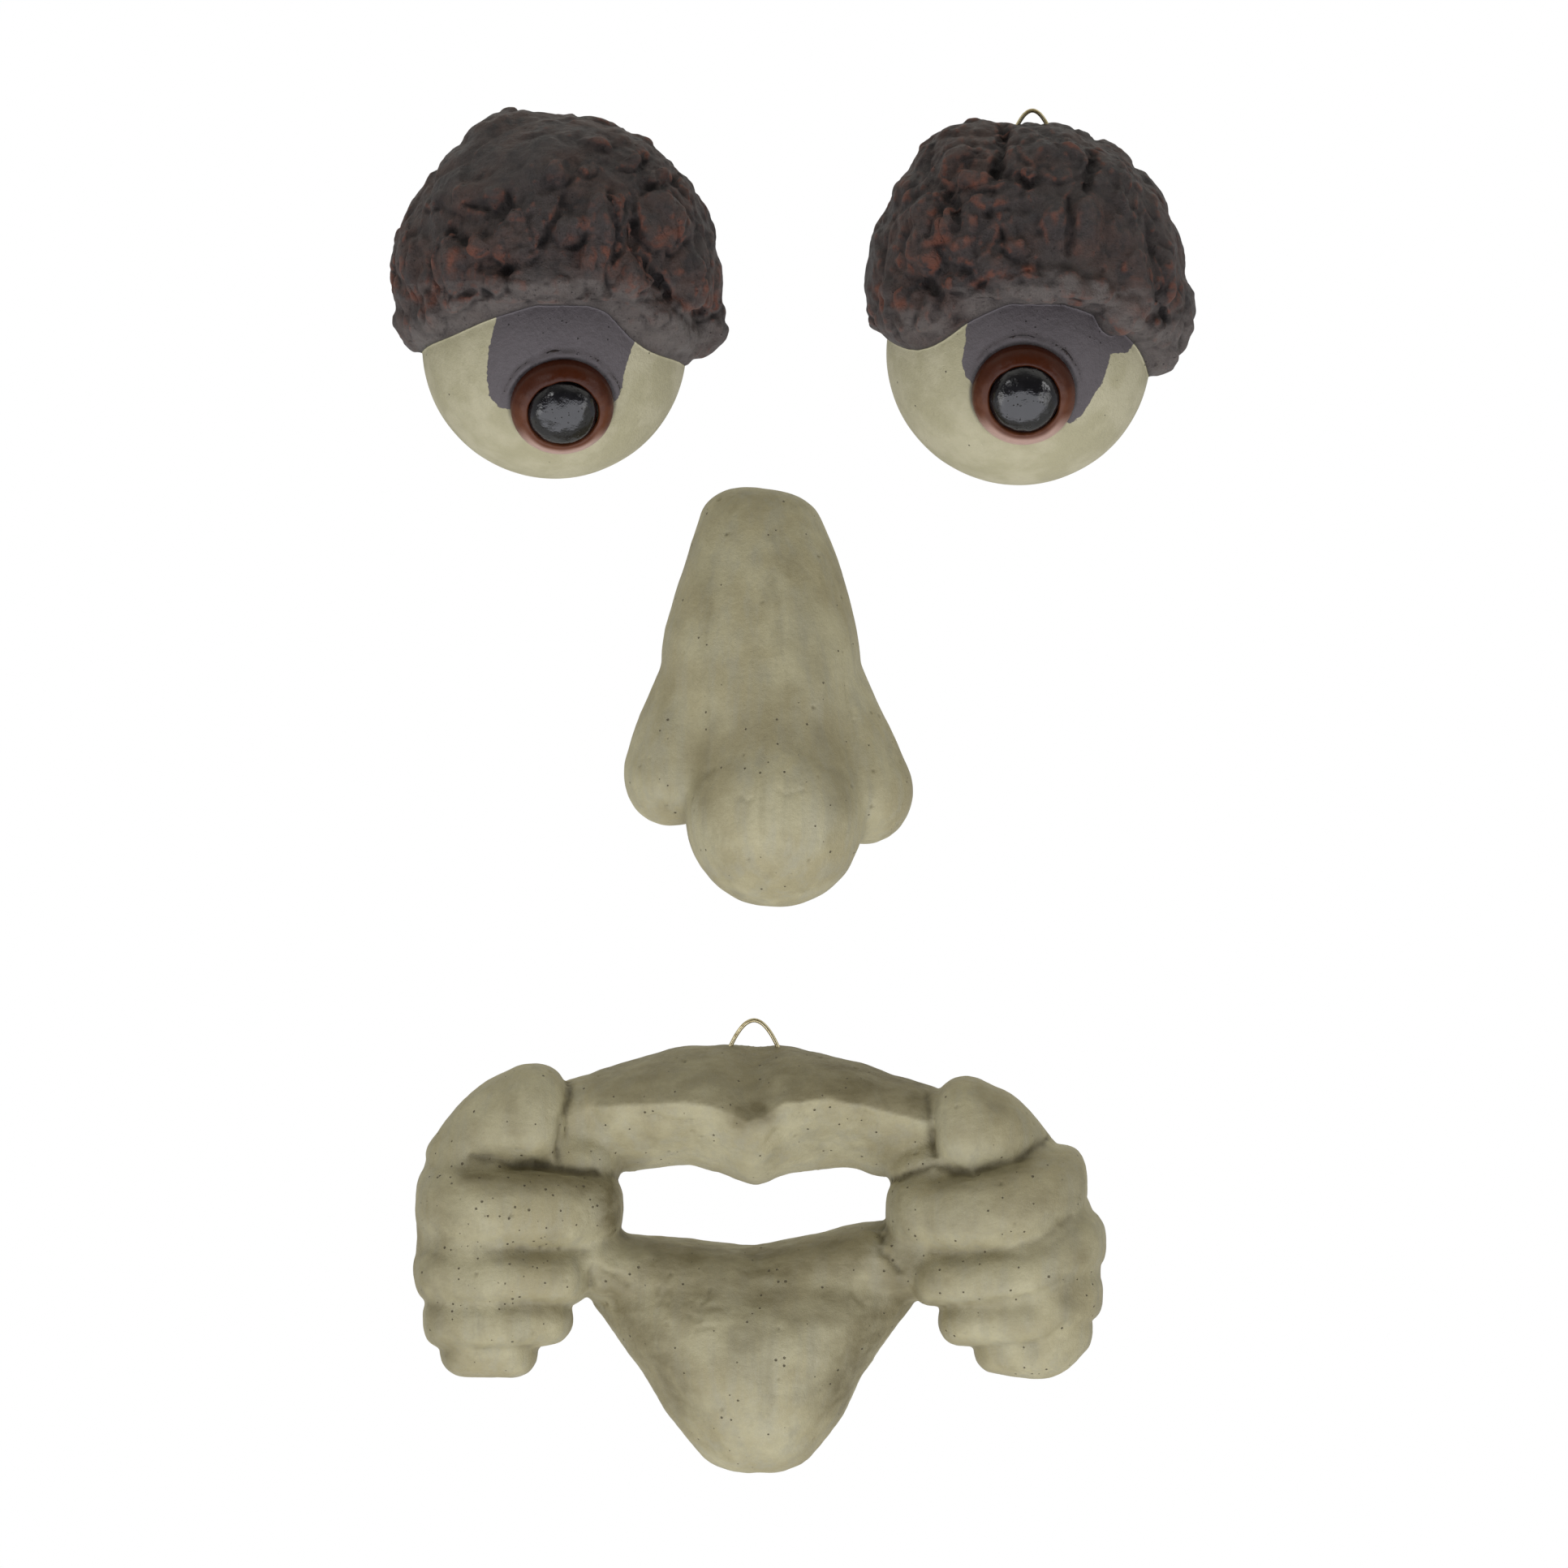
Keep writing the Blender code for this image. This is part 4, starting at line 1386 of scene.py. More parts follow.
    def plate_marks(self, points: Points) -> tuple[Points, Points, Points]:
        """How the plates and burls of the bark stand out, seen from the front: flush above and proud below.

        Args:
            points: The points.

        Returns:
            For each point, how proud a plate is there, how near a plate's rubbed edge is, and how deep the
            crevice beside one is.
        """
        warped = points + wander(points, *self.plate_wander, Seed.PLATE_WANDER, 3)
        proud, edge, beside = np.zeros((3, len(points)))
        for plate in self.plates + self.burls:
            turn = math.radians(plate.roll)
            x, z = warped[:, 0] - plate.x, warped[:, 2] - plate.z
            across = (x * math.cos(turn) - z * math.sin(turn)) / plate.half_x
            up = (x * math.sin(turn) + z * math.cos(turn)) / plate.half_z
            reach = np.hypot(across, up)
            lower = step_between(1.0, -0.6, up)
            width = min(self.plate_edge / min(plate.half_x, plate.half_z), 0.3)
            proud = np.maximum(proud, step_between(1 + width, 1 - width, reach) * (0.25 + 0.75 * lower))
            edge = np.maximum(edge, np.exp(-(((reach - 1 + width) / width) ** 2)) * (0.3 + 0.7 * lower))
            beside = np.maximum(beside, np.exp(-(((reach - 1 - width) / width) ** 2)) * lower)
        return proud, edge, beside * (1 - proud)

    def weather(self, skin: Skin) -> None:
        """Works the brow as bark, with cracks, clefts and pits, and leaves the ball smooth.

        Args:
            skin: The skin.
        """
        noise.seed_set(NOISE_SEED)
        reach = np.linalg.norm(skin.points, axis=1)
        forward = skin.points @ self.look() / reach
        bark = self.bark_edge.of(reach - EYEBALL_RADIUS) * (forward < self.cornea_clear)
        coarse = np.zeros(len(bark))
        coarse[bark > 0] = self.coarse_bark(skin.points[bark > 0])
        skin.raise_by((0.6 - 0.1 * skin.front()) * coarse * bark)
        rim = washed(skin.points, self.lit_rim)
        rugged = bark * (1 - washed(skin.points, self.smooth_bark)) * (1 - self.rim_calm * rim)
        ahead = self.facing_from.of(-skin.normals[:, 1])
        facing = self.side_relief + (1 - self.side_relief) * ahead
        self.fold(skin, rugged * facing)
        skin.groove(self.clefts, self.cleft_stray)
        fine_size, fine_rise = self.fine_relief
        fine = fine_rise * soft_noise(skin.points, fine_size, Seed.FINE, 3)
        pits = skin.pitted(self.pits, Seed.BARK_PITS, self.rim_pits * rim)
        skin.raise_by(bark * facing * (fine - pits))
        skin.place(skin.eased(skin.points, 1))
        self.round_ball(skin)

    def fold(self, skin: Skin, rugged: Points) -> None:
        """Works the bark's folds, creases and knots, and its slabs and plates.

        Args:
            skin: The skin.
            rugged: How rugged it is at each vertex.
        """
        warped = skin.points + wander(skin.points, *self.bark_wander, Seed.BARK_WANDER)
        billows = np.zeros(len(warped))
        for fold in self.folds:
            heights = np.abs(soft_noise(warped * fold.times, fold.size, fold.seed))
            billows += fold.rise * np.minimum(heights, fold.level)
        skin.raise_by(rugged * (billows - self.folds_mean))
        near, following, value = grains(warped * self.slab_stretch, self.slab_size, Seed.SLABS)
        slabs = step_between(0.0, self.slab_gap, following - near) * value
        proud, _, beside = self.plate_marks(skin.points)
        steps = self.plate_step * (proud - self.crevice_share * beside)
        skin.raise_by(rugged * (self.slab_rise * slabs - self.slab_rise / 2 + steps))

    def round_ball(self, skin: Skin) -> None:
        """Makes the bare ball even again, with the fold of the lid above the iris.

        Args:
            skin: The skin.
        """
        reach = np.linalg.norm(skin.points, axis=1)
        bare = self.bare_below.of(reach - EYEBALL_RADIUS)[:, None]
        above = self.lid_fold_above.of(skin.points[:, 2] - self.look()[2] * EYEBALL_RADIUS)
        size, stray = self.fold_place
        ring = self.off_gaze(skin.points) + stray * soft_noise(skin.points, size, Seed.FOLD_PLACE, 2)
        size, mean, swing = self.fold_height
        uneven = mean + swing * soft_noise(skin.points, size, Seed.FOLD_HEIGHT, 2)
        uneven = np.clip(uneven, 0, self.fold_highest)
        fold = uneven * above * self.lid_fold_from.of(ring) * self.lid_fold_to.of(ring)
        size, rise = self.ball_unevenness
        radius = EYEBALL_RADIUS + rise * soft_noise(skin.points, size, Seed.EYEBALL, 2) + fold
        even = skin.points / reach[:, None] * radius[:, None]
        skin.place(skin.points * (1 - bare) + even * bare)

    def off_gaze(self, points: Points) -> Points:
        """How far points lie from the gaze, in degrees at the middle of the ball."""
        reach = np.linalg.norm(points, axis=1)
        return np.degrees(np.arccos(np.clip(points @ self.look() / reach, -1, 1)))

    def mask(self, skin: Skin) -> None:
        """Keeps the brow's height, its ridges, painted shade in its hollows, painted light on its rim, the
        lid's outline, and a painted shadow above the iris.

        Args:
            skin: The weathered skin.
        """
        z, upward = skin.points[:, 2], skin.normals[:, 2]
        ring = self.off_gaze(skin.points)
        off_ball = np.linalg.norm(skin.points, axis=1) - EYEBALL_RADIUS
        brow = np.where(ring < self.iris_ring, 0.0, off_ball)
        hollow, broad, ridge = (skin.hollow(rounds) for rounds in self.hollow_rounds)
        _, wear_and_reflection, beside = self.plate_marks(skin.points)
        bark = (1 - washed(skin.points, self.smooth_bark)) * self.on_bark.of(brow)
        # Painted shade: a dark line along the brow's edge, and darkening in hollows, broad hollows and beside
        # the plates.
        line = self.line_shade.of(np.abs(brow - self.brow_line)) * (brow > 0.02)
        dark = self.hollow_shade.of(hollow) + self.broad_shade.of(broad) + self.crevice_shade * beside * bark
        patchy = self.worn_patches.of(soft_noise(skin.points, self.worn_size, Seed.WORN, 2))
        # Rubbed plate edges, in patches, where the rust shows.
        wear_and_reflection = wear_and_reflection * patchy * bark * self.worn_ridges.of(-ridge) * self.worn_rust
        rusty = np.maximum(self.rusty_ridges.of(-ridge), washed(skin.points, self.rust))
        # Painted light: the rim where it faces down, and every low surface that faces down, painted paler as
        # if lit from below.
        lit_rim = washed(skin.points, self.lit_rim) * self.lit_facing_down.of(upward)
        under = self.lit_underside.of(upward) * (z < self.lit_underside_below)
        lid = inside_outline(skin.points, self.lid)
        pitted = self.pitted_ball + self.pitted_lid.of(z) * (lid > 0)
        skin.keep("brow", brow)
        skin.keep("hollow", np.clip(dark + line, 0, 1))
        skin.keep("ridge", np.maximum(rusty, wear_and_reflection) * (1 - self.lit_rim_over_rust * lit_rim))
        skin.keep("lit_rim", np.clip(under + lit_rim, 0, 1))
        skin.keep("lid", lid)
        # Painted shadow above the iris ring.
        skin.keep("painted_shadow", self.shadow_ring.of(ring) * self.shadow_above.of(z))
        skin.keep("pitted", np.where(brow > self.pitted_bark, self.pitted_bark, pitted))

    def extras(self) -> list[Mesh]:
        """The iris and the pupil, turned on the eye's gaze."""
        return [self.turned(self.iris_profile, 1), self.turned(self.pupil_profile, 2)]

    def turned(self, profile: Path, slot: int) -> Mesh:
        """A profile turned about the eye's gaze.

        Args:
            profile: Radii and distances from the middle of the ball.
            slot: The number of its material.

        Returns:
            The mesh.
        """
        sides = self.cornea_sides
        spans = 8 * (len(profile) - 1)
        rings = np.array([blend_stations(profile, k / spans) for k in range(spans + 1)])
        turns = np.arange(sides) * 2 * math.pi / sides
        points = np.array([(r * math.cos(a), r * math.sin(a), d) for r, d in rings for a in turns])
        faces = []
        for ring, side in itertools.product(range(spans), range(sides)):
            start, after = ring * sides, (ring + 1) * sides
            ahead = (side + 1) % sides
            faces.append((start + side, start + ahead, after + ahead, after + side))
        turn = Vector((0, 0, 1)).rotation_difference(Vector(self.look())).to_matrix()
        mesh = bpy.data.meshes.new("turned")
        mesh.from_pydata((points @ np.array(turn).T).tolist(), [], faces)
        bm = bmesh.new()
        bm.from_mesh(mesh)
        bmesh.ops.remove_doubles(bm, verts=bm.verts, dist=1e-4)
        bmesh.ops.recalc_face_normals(bm, faces=bm.faces)
        for face in bm.faces:
            face.material_index = slot
        skin = Skin(finished(bm))
        reach = skin.points @ self.look()
        away = np.linalg.norm(skin.points - reach[:, None] * self.look(), axis=1)
        size, rise = self.wobble
        moved = rise * soft_noise(skin.points, size, Seed.IRIS_WOBBLE, 2) * self.wobble_within.of(away)
        size, rise = self.ripple
        inside = self.ripple_inside.of(self.iris_profile[0][0] - away)
        skin.raise_by(moved + rise * soft_noise(skin.points, size, Seed.IRIS_RIPPLE) * inside)
        # Painted reflection of the light from below, low on the ring's outer edge, and painted shade on its
        # upper part.
        height = skin.points[:, 2] - self.iris_out * self.look()[2]
        skin.keep("wear_and_reflection", self.reflection_below.of(height) * self.reflection_outside.of(away))
        skin.keep("shaded", self.shaded_above.of(height))
        return skin.mesh


@dataclass
class ResinCasting(Casting):
    """A casting in painted resin, with filled valleys and eased relief, as of a hand-smoothed model."""

    filled: Pair = (420, 0.85)
    eased: Pair = (120, 0.8)
    uneven: Pair = (9.0, 0.3)
    uneven_stretch: Triple = (1.0, 1.0, 0.6)
    pits: Pits = Pits(3.4, 1.0, 0.25, 0.07, 0.55)

    def smooth(self, skin: Skin, share: Points) -> None:
        """Fills the valleys, and eases the relief by a share for each vertex."""
        skin.fill(*self.filled)
        skin.ease_depth(self.eased[0], self.eased[1] * share * skin.front())

    def roughen(self, skin: Skin) -> None:
        """Leaves faint unevenness."""
        size, rise = self.uneven
        skin.raise_by(rise * soft_noise(skin.points * self.uneven_stretch, size, Seed.UNEVEN, 3))


@dataclass
class NoseCasting(ResinCasting):
    """The nose: a broad bridge, a ball at its tip and a wing on each side."""

    scar_stray: float = 0.7
    wide_rounds: int = 120
    # Painted shade in broad hollows.
    wide_hollow_shade: Rise = Rise(0.1, 0.9, 0.35)
    crease_rounds: int = 8
    # Painted shade in small creases.
    crease_shade: Rise = Rise(0.1, 0.5, 0.5)
    pitted_size: float = 22.0
    pitted_share: float = 0.12
    pitted_patches: Rise = Rise(-0.1, 0.6, 0.2)
    bridge: tuple[Lump, ...] = lumps(
        (-2.4, -2, 49.6, 19.8, 18, 15, 2.4, 0, 7),
        (-1.9, -1, 39, 23.5, 22.5, 15, 2.5),
        (-1.9, 0, 26.5, 27.7, 26.5, 15, 2.4),
        (-2.3, 1, 13.5, 30.8, 30, 15, 2.3),
        (-1, 2, 0, 30, 33, 15, 2.2),
        (1, 4, -15, 29, 34.5, 16),
        (2.2, 12, -29, 27.5, 33, 20),
    )
    ball: tuple[Lump, ...] = lumps(
        (2.2, 19, -37, 27.8, 28.5, 28.3),
    )
    left_wing: tuple[Lump, ...] = lumps(
        (-20, 0, 6, 13.6, 20, 14),
        (-26.4, 3, -12, 14.8, 21, 14),
        (-29.5, 5, -24.5, 15.4, 21, 15.9),
    )
    right_wing: tuple[Lump, ...] = lumps(
        (16.2, 0, 6, 13.2, 20, 13),
        (23.6, 3, -13, 14.4, 21, 14),
        (30, 5, -29.4, 15.2, 21, 16.6),
    )
    wing_roots: tuple[Lump, ...] = lumps(
        (-15, 4, -17, 17, 24, 19),
        (16.5, 4, -21, 17, 24, 19),
    )
    scars: tuple[Stroke, ...] = strokes(
        (0.9, 0.45, (-8.5, -31), (-6.5, -32.5), (-4.5, -31.5)),
        (0.8, 0.3, (3, -29.5), (6, -31), (10, -29.5)),
        (1.2, 0.6, (-19, -24.5), (-16.5, -22.5)),
        (1, 0.3, (13.5, -17.5), (18, -22.5)),
    )
    # Strokes of washed-on umber, partly painted shade in the valleys round the ball.
    wash_and_shade_strokes: tuple[Stroke, ...] = strokes(
        (8, 0.3, (-17, -19), (-12, -12), (0, -9.5), (12, -11), (18.5, -19)),
        (10, 0.35, (0, -8), (2, -5)),
        (4.5, 0.36, (-20, -32), (-21, -20), (-15, -9)),
        (5, 0.42, (22.5, -33), (22, -22), (15, -11)),
        (7, 0.28, (14, 8), (10, 28)),
        (3, 0.15, (-20, 4), (-17, 40)),
    )

    def forms(self) -> Mesh:
        """The bridge, the ball and the wings."""
        runs = self.bridge, self.ball, self.left_wing, self.right_wing
        return lumps_mesh([lump for form in runs for lump in run(form)] + list(self.wing_roots))

    def weather(self, skin: Skin) -> None:
        """Smooths the skin, and leaves a few scars and pits.

        Args:
            skin: The skin.
        """
        self.smooth(skin, np.ones(len(skin.points)))
        self.roughen(skin)
        skin.groove(self.scars, self.scar_stray)
        skin.raise_by(-skin.pitted(self.pits, Seed.CAST_PITS))

    def mask(self, skin: Skin) -> None:
        """Keeps the washed-on umber with its painted shade, the painted shade in the creases, and how pitted
        the skin is.

        Args:
            skin: The weathered skin.
        """
        # Washed-on umber, with painted shade in broad hollows.
        wash_and_shade = washed(skin.points, self.wash_and_shade_strokes) + self.wide_hollow_shade.of(skin.hollow(self.wide_rounds))
        patchy = self.pitted_patches.of(soft_noise(skin.points, self.pitted_size, Seed.PITTED, 2))
        skin.keep("wash_and_shade", np.clip(wash_and_shade, 0, 1))
        # Painted shade in the small creases.
        skin.keep("crease_wash_and_shade", self.crease_shade.of(skin.hollow(self.crease_rounds)))
        skin.keep("pitted", self.pitted_share + patchy)


LEFT_THUMB = lumps(
    (-93.5, 6, 30.5, 9.5, 16, 10),
    (-81, 10, 40.8, 12, 18, 12.8, 2.1),
    (-69.8, 12, 44.6, 11.5, 18, 15.6, 2.4),
)
LEFT_FINGERS = (
    lumps(
        (-96.4, 6, 16.5, 9.8, 22, 13.9, 2.5),
        (-84, 11, 15.6, 11, 23, 13.6, 2.5),
        (-64, 11, 15.2, 11, 21.5, 13.3, 2.5),
        (-51, 7, 15, 9.3, 19, 12.6, 2.3),
    ),
    lumps(
        (-97, 6, -4.8, 9.6, 22, 10.3, 2.5),
        (-79, 10, -5.2, 11, 22, 10.2, 2.5),
        (-60.5, 8, -5.4, 9, 20.5, 9.9, 2.3),
    ),
    lumps(
        (-94.8, 5, -19.6, 8.9, 19.5, 9.2, 2.5),
        (-79, 9, -19.9, 10, 20, 8.9, 2.5),
        (-66, 7, -18.8, 8.8, 18, 8.2, 2.3),
    ),
    lumps(
        (-89.5, 4, -29, 9, 16.5, 8.4, 2.3),
        (-76.8, 6, -29.6, 8.4, 15.5, 8, 2.3),
    ),
)
LEFT_PALM = lumps(
    (-82, 0, 38, 14, 15, 10),
    (-84.5, 3, 25, 19.5, 21.5, 13, 2.2),
    (-84.5, 4, 6, 21.4, 24.5, 14, 2.4),
    (-83.5, 3, -10, 20.4, 23, 12, 2.4),
    (-82.5, 1, -23, 17, 17, 10.5, 2.2),
)
RIGHT_THUMB = lumps(
    (83.5, 6, 33, 8.2, 15, 7.6),
    (74, 10, 39.2, 10.2, 17.5, 11.7, 2.2),
    (64.4, 12, 41, 10.8, 18, 15, 2.4),
)
RIGHT_FINGERS = (
    lumps(
        (93.2, 6, 22, 8.8, 21, 12.6, 2.4),
        (82, 11, 17.8, 11, 23, 14.2, 2.5),
        (64, 11, 14.2, 11, 21.5, 13.6, 2.5),
        (48.8, 7, 14.2, 9.3, 19, 12.2, 2.3),
    ),
    lumps(
        (98.4, 6, 4.6, 9, 20.5, 10.4, 2.5),
        (86, 10, -3, 10, 22, 10.3, 2.5),
        (70, 10, -6.2, 10, 21.5, 10, 2.5),
        (55, 8, -6.2, 8.6, 19.5, 9.2, 2.3),
    ),
    lumps(
        (98, 5, -11.8, 8.6, 18.5, 9.2, 2.5),
        (83, 9, -18.2, 10, 20, 9.1, 2.5),
        (64, 7, -19.6, 8.4, 18, 8.2, 2.3),
    ),
    lumps(
        (95.6, 4, -23.2, 8.2, 16, 8.2, 2.3),
        (88, 6, -28.4, 8.6, 16.5, 9.2, 2.3),
        (75.6, 5, -29.2, 8.8, 15, 7.2, 2.3),
    ),
)
RIGHT_PALM = lumps(
    (76.5, 0, 36, 12, 15, 10),
    (80.5, 3, 23, 18, 21.5, 12.6, 2.1),
    (84.5, 4, 6, 20.6, 24.5, 14, 2.4),
    (84.8, 3, -9, 20.6, 23, 12, 2.4),
    (83.5, 1, -22, 17, 17, 10.5, 2.2),
)
MOUTH_CORNERS = lumps(
    (-58, 2, 29, 16, 20, 13),
    (56, 2, 27, 16, 20, 12),
    (-52, 2, 0, 14, 20, 12),
    (50.5, 2, 1.5, 14.5, 20, 12),
)
UPPER_LIP = lumps(
    (-57, 0, 40.9, 9, 20, 13.9, 1.7, 5),
    (-39.8, 0, 43, 9, 24, 17.4, 1.6, 4.6),
    (-23.5, 0, 46.6, 9, 26.5, 18.6, 1.6, 1.5),
    (-12.3, 0, 45.3, 8, 28, 20, 1.55, 2.4),
    (-1, 0, 43.6, 7, 25.5, 21.6, 1.6, -2.5),
    (10.5, 0, 45, 8, 28, 19.8, 1.55, 4),
    (27.8, 0, 43.9, 9, 26.5, 16.9, 1.6, 5.6),
    (39, 0, 40.5, 9, 24, 16.2, 1.6, 6.5),
    (53, 0, 38.9, 9, 20, 13.4, 1.7, 6.5),
)
LOWER_LIP = lumps(
    (-48.5, 2, -3.5, 8, 19, 11),
    (-38, 1, -5, 9, 19.5, 11.8),
    (-20, 1, -6.6, 9, 21, 11.6),
    (-1, 1, -8.6, 9, 20.5, 12),
    (19, 1, -4.8, 9, 21, 12),
    (36, 1, -1.6, 9, 20, 12.4),
    (46.5, 2, -2, 8, 19, 12.8),
)
TONGUE_LEFT = lumps(
    (-13.5, 0, -14, 38, 24.5, 10),
    (-12, 1, -22, 33, 27.5, 12),
    (-9, 1, -34, 27.3, 28.5, 12),
    (-5, 0, -46, 23.9, 26.5, 12),
    (-3.2, -1, -56, 16.6, 21, 11.4),
)
TONGUE_RIGHT = lumps(
    (10.5, 0, -14, 38, 24.5, 10),
    (9, 1, -22, 33, 27.5, 12),
    (6, 1, -34, 27.3, 28.5, 12),
    (3.6, 0, -46, 24.2, 26.5, 12),
    (2.4, -1, -56, 16.8, 21, 11.4),
)

LEFT_PALM_CREASE = (
    (-96.5, 35), (-88, 31.7), (-78.6, 29.8), (-69.2, 28.7), (-60.7, 28.4), (-50.4, 26.5), (-42, 24.3),
)
LEFT_THUMB_EDGE = ((-58.4, 54.7), (-57.9, 49.5), (-60.3, 43), (-61.2, 36.4), (-61.7, 30))
RIGHT_PALM_CREASE = (
    (40.8, 23), (47.3, 26.3), (54.8, 29.1), (60.4, 27.3), (66, 26.8), (71.6, 28.2), (78.2, 29.6),
    (83.8, 32.9), (88.9, 36.6),
)
RIGHT_THUMB_EDGE = ((52, 50.2), (53, 45.5), (53.9, 39.9), (54.4, 32.4))
FINGER_CREASES = (
    ((-83.3, 2.5), (-73, 3.3), (-61.7, 2.7), (-52.3, 2.1)),
    ((-79.5, -13.9), (-68.3, -13.2), (-61.7, -13.9), (-55.1, -12.5)),
    ((-87, -27.2), (-77.7, -27), (-68.3, -26.6)),
    ((53, 2.4), (60.4, 1.7), (67.9, 2.4), (77.3, 3.3), (86.6, 6.2), (96, 13)),
    ((53.9, -14), (64.2, -14), (73.5, -12.2), (83.8, -10.3), (96, -5)),
    ((66, -27), (76.3, -26.7), (86.6, -25.2), (97, -18)),
)
LIP_RIDGE = (
    (-48.5, 46.7), (-42.9, 47.2), (-31.6, 47.8), (-22.2, 48.4), (-14.7, 47.2), (-8.1, 44.8), (-3.4, 42.2),
    (1.8, 43.8), (8.1, 48.2), (21.2, 49.3), (32.4, 47.4), (40.8, 45.1), (52, 42.3),
)


@dataclass
class MouthCasting(ResinCasting):
    """The mouth: lips and tongue between two fists that pull the corners out."""

    filled: Pair = (150, 0.72)
    eased: Pair = (50, 0.7)
    tongue_eased: Pair = (260, 0.9)
    last_eased: Pair = (14, 0.6)
    uneven: Pair = (9.0, 0.38)
    uneven_stretch: Triple = (1.0, 1.0, 1.0)
    pits: Pits = Pits(3.6, 1.0, 0.3, 0.06, 0.5)
    fists_from: Rise = Rise(52.0, 60.0)
    tongue_within: Rise = Rise(48.0, 40.0)
    tongue_below: Rise = Rise(2.0, -4.0)
    lip_from: Rise = Rise(-53.0, -46.0)
    lip_to: Rise = Rise(57.0, 50.0)
    ridge_rise: float = 1.3
    ridge_width: float = 2.2
    crease_stray: float = 0.8
    mark_stray: float = 1.2
    wash_wander: Pair = (1.6, 7.0)
    crease_wander: float = 0.6
    ridge_wander: float = 0.25
    hollow_rounds: tuple[int, int] = (10, 90)
    # Painted shade along the creases and in hollows.
    crease_in: Rise = Rise(-0.3, 0.25)
    hollow_shade: Rise = Rise(0.1, 0.6, 0.45)
    # Painted shade on the upper lip's upward-facing plane, darker towards the right.
    upper_from: Rise = Rise(-56.0, -48.0)
    upper_to: Rise = Rise(58.0, 50.0)
    upper_above: Rise = Rise(-0.4, 1.0)
    upper_shade: float = 0.46
    upper_shade_right: Rise = Rise(-10.0, 30.0, 0.26)
    # A thin umber all over, and painted shade in broad hollows.
    wash_share: float = 0.1
    wide_hollow_shade: Rise = Rise(0.2, 1.4, 0.2)
    pitted_size: float = 24.0
    pitted_share: float = 0.26
    pitted_patches: Rise = Rise(0.0, 0.6, 0.14)
    creases: tuple[Stroke, ...] = strokes(
        (1.6, 1, *LEFT_PALM_CREASE[1:6]),
        (1.6, 1.2, *LEFT_PALM_CREASE[3:5]),
        (1.2, 0.9, *LEFT_THUMB_EDGE),
        (1.4, 1, *RIGHT_PALM_CREASE),
        (1.2, 0.8, *RIGHT_THUMB_EDGE),
        *((1.1, 0.35, *path) for path in FINGER_CREASES),
    )
    marks: tuple[Stroke, ...] = strokes(
        (1, 0.68, (-34, 44.5), (-27, 42.5), (-20, 43)),
        (2.6, 1.05, (-52, 43.5), (-50, 40)),
        (1.1, 0.75, (-49.5, -2.5), (-41, -8)),
        (1.1, 0.6, (-50, -3.5), (-44, -15)),
        (1, 0.75, (-50.4, -2.2), (-52, -9)),
        (1, 0.75, (-27.5, -9.5), (-29.5, -12)),
        (1, 0.6, (-30, -9), (-27.5, -12.5)),
        (1.1, 0.75, (-15, -10), (-18.5, -18)),
        (1, 0.6, (-21, -17.5), (-12, -14.5)),
        (1, 0.52, (-19, -20.5), (-14, -21)),
        (1.7, 1.2, (36, 12), (38.5, 6)),
        (1.4, 1.2, (38, 3), (43.5, -4)),
        (1.1, 0.52, (29, -8), (33, -14)),
        (1, 0.6, (16, 47), (15, 43)),
        (1, 0.52, (33, 45), (36, 41)),
        (1.2, 0.75, (4, 36.5), (6.5, 39)),
        (1, 0.45, (20, 36), (29, 38)),
        (3.4, 0.7, (-1, 6), (-1.5, -4), (-1, -14)),
    )
    # Dark lines along the creases: painted shade, partly a washed-on umber.
    crease_wash_and_shade_strokes: tuple[Stroke, ...] = strokes(
        (2, 0.55, *LEFT_PALM_CREASE[1:4]),
        (2.2, 0.75, *LEFT_PALM_CREASE[3:]),
        (1.6, 0.5, *LEFT_THUMB_EDGE),
        (1.7, 0.65, *RIGHT_PALM_CREASE),
        (1.5, 0.5, *RIGHT_THUMB_EDGE),
        (2.4, 0.7, (-42, 11.5), (-40.5, 7.5)),
        (2.6, 0.4, (-3.5, 43.2), (0.5, 43.2)),
        (1.8, 0.35, (-69, -14), (-64, -19)),
        (1.8, 0.6, (38, 12), (41.5, -3)),
        *((1.3, 0.22, *path) for path in FINGER_CREASES),
    )
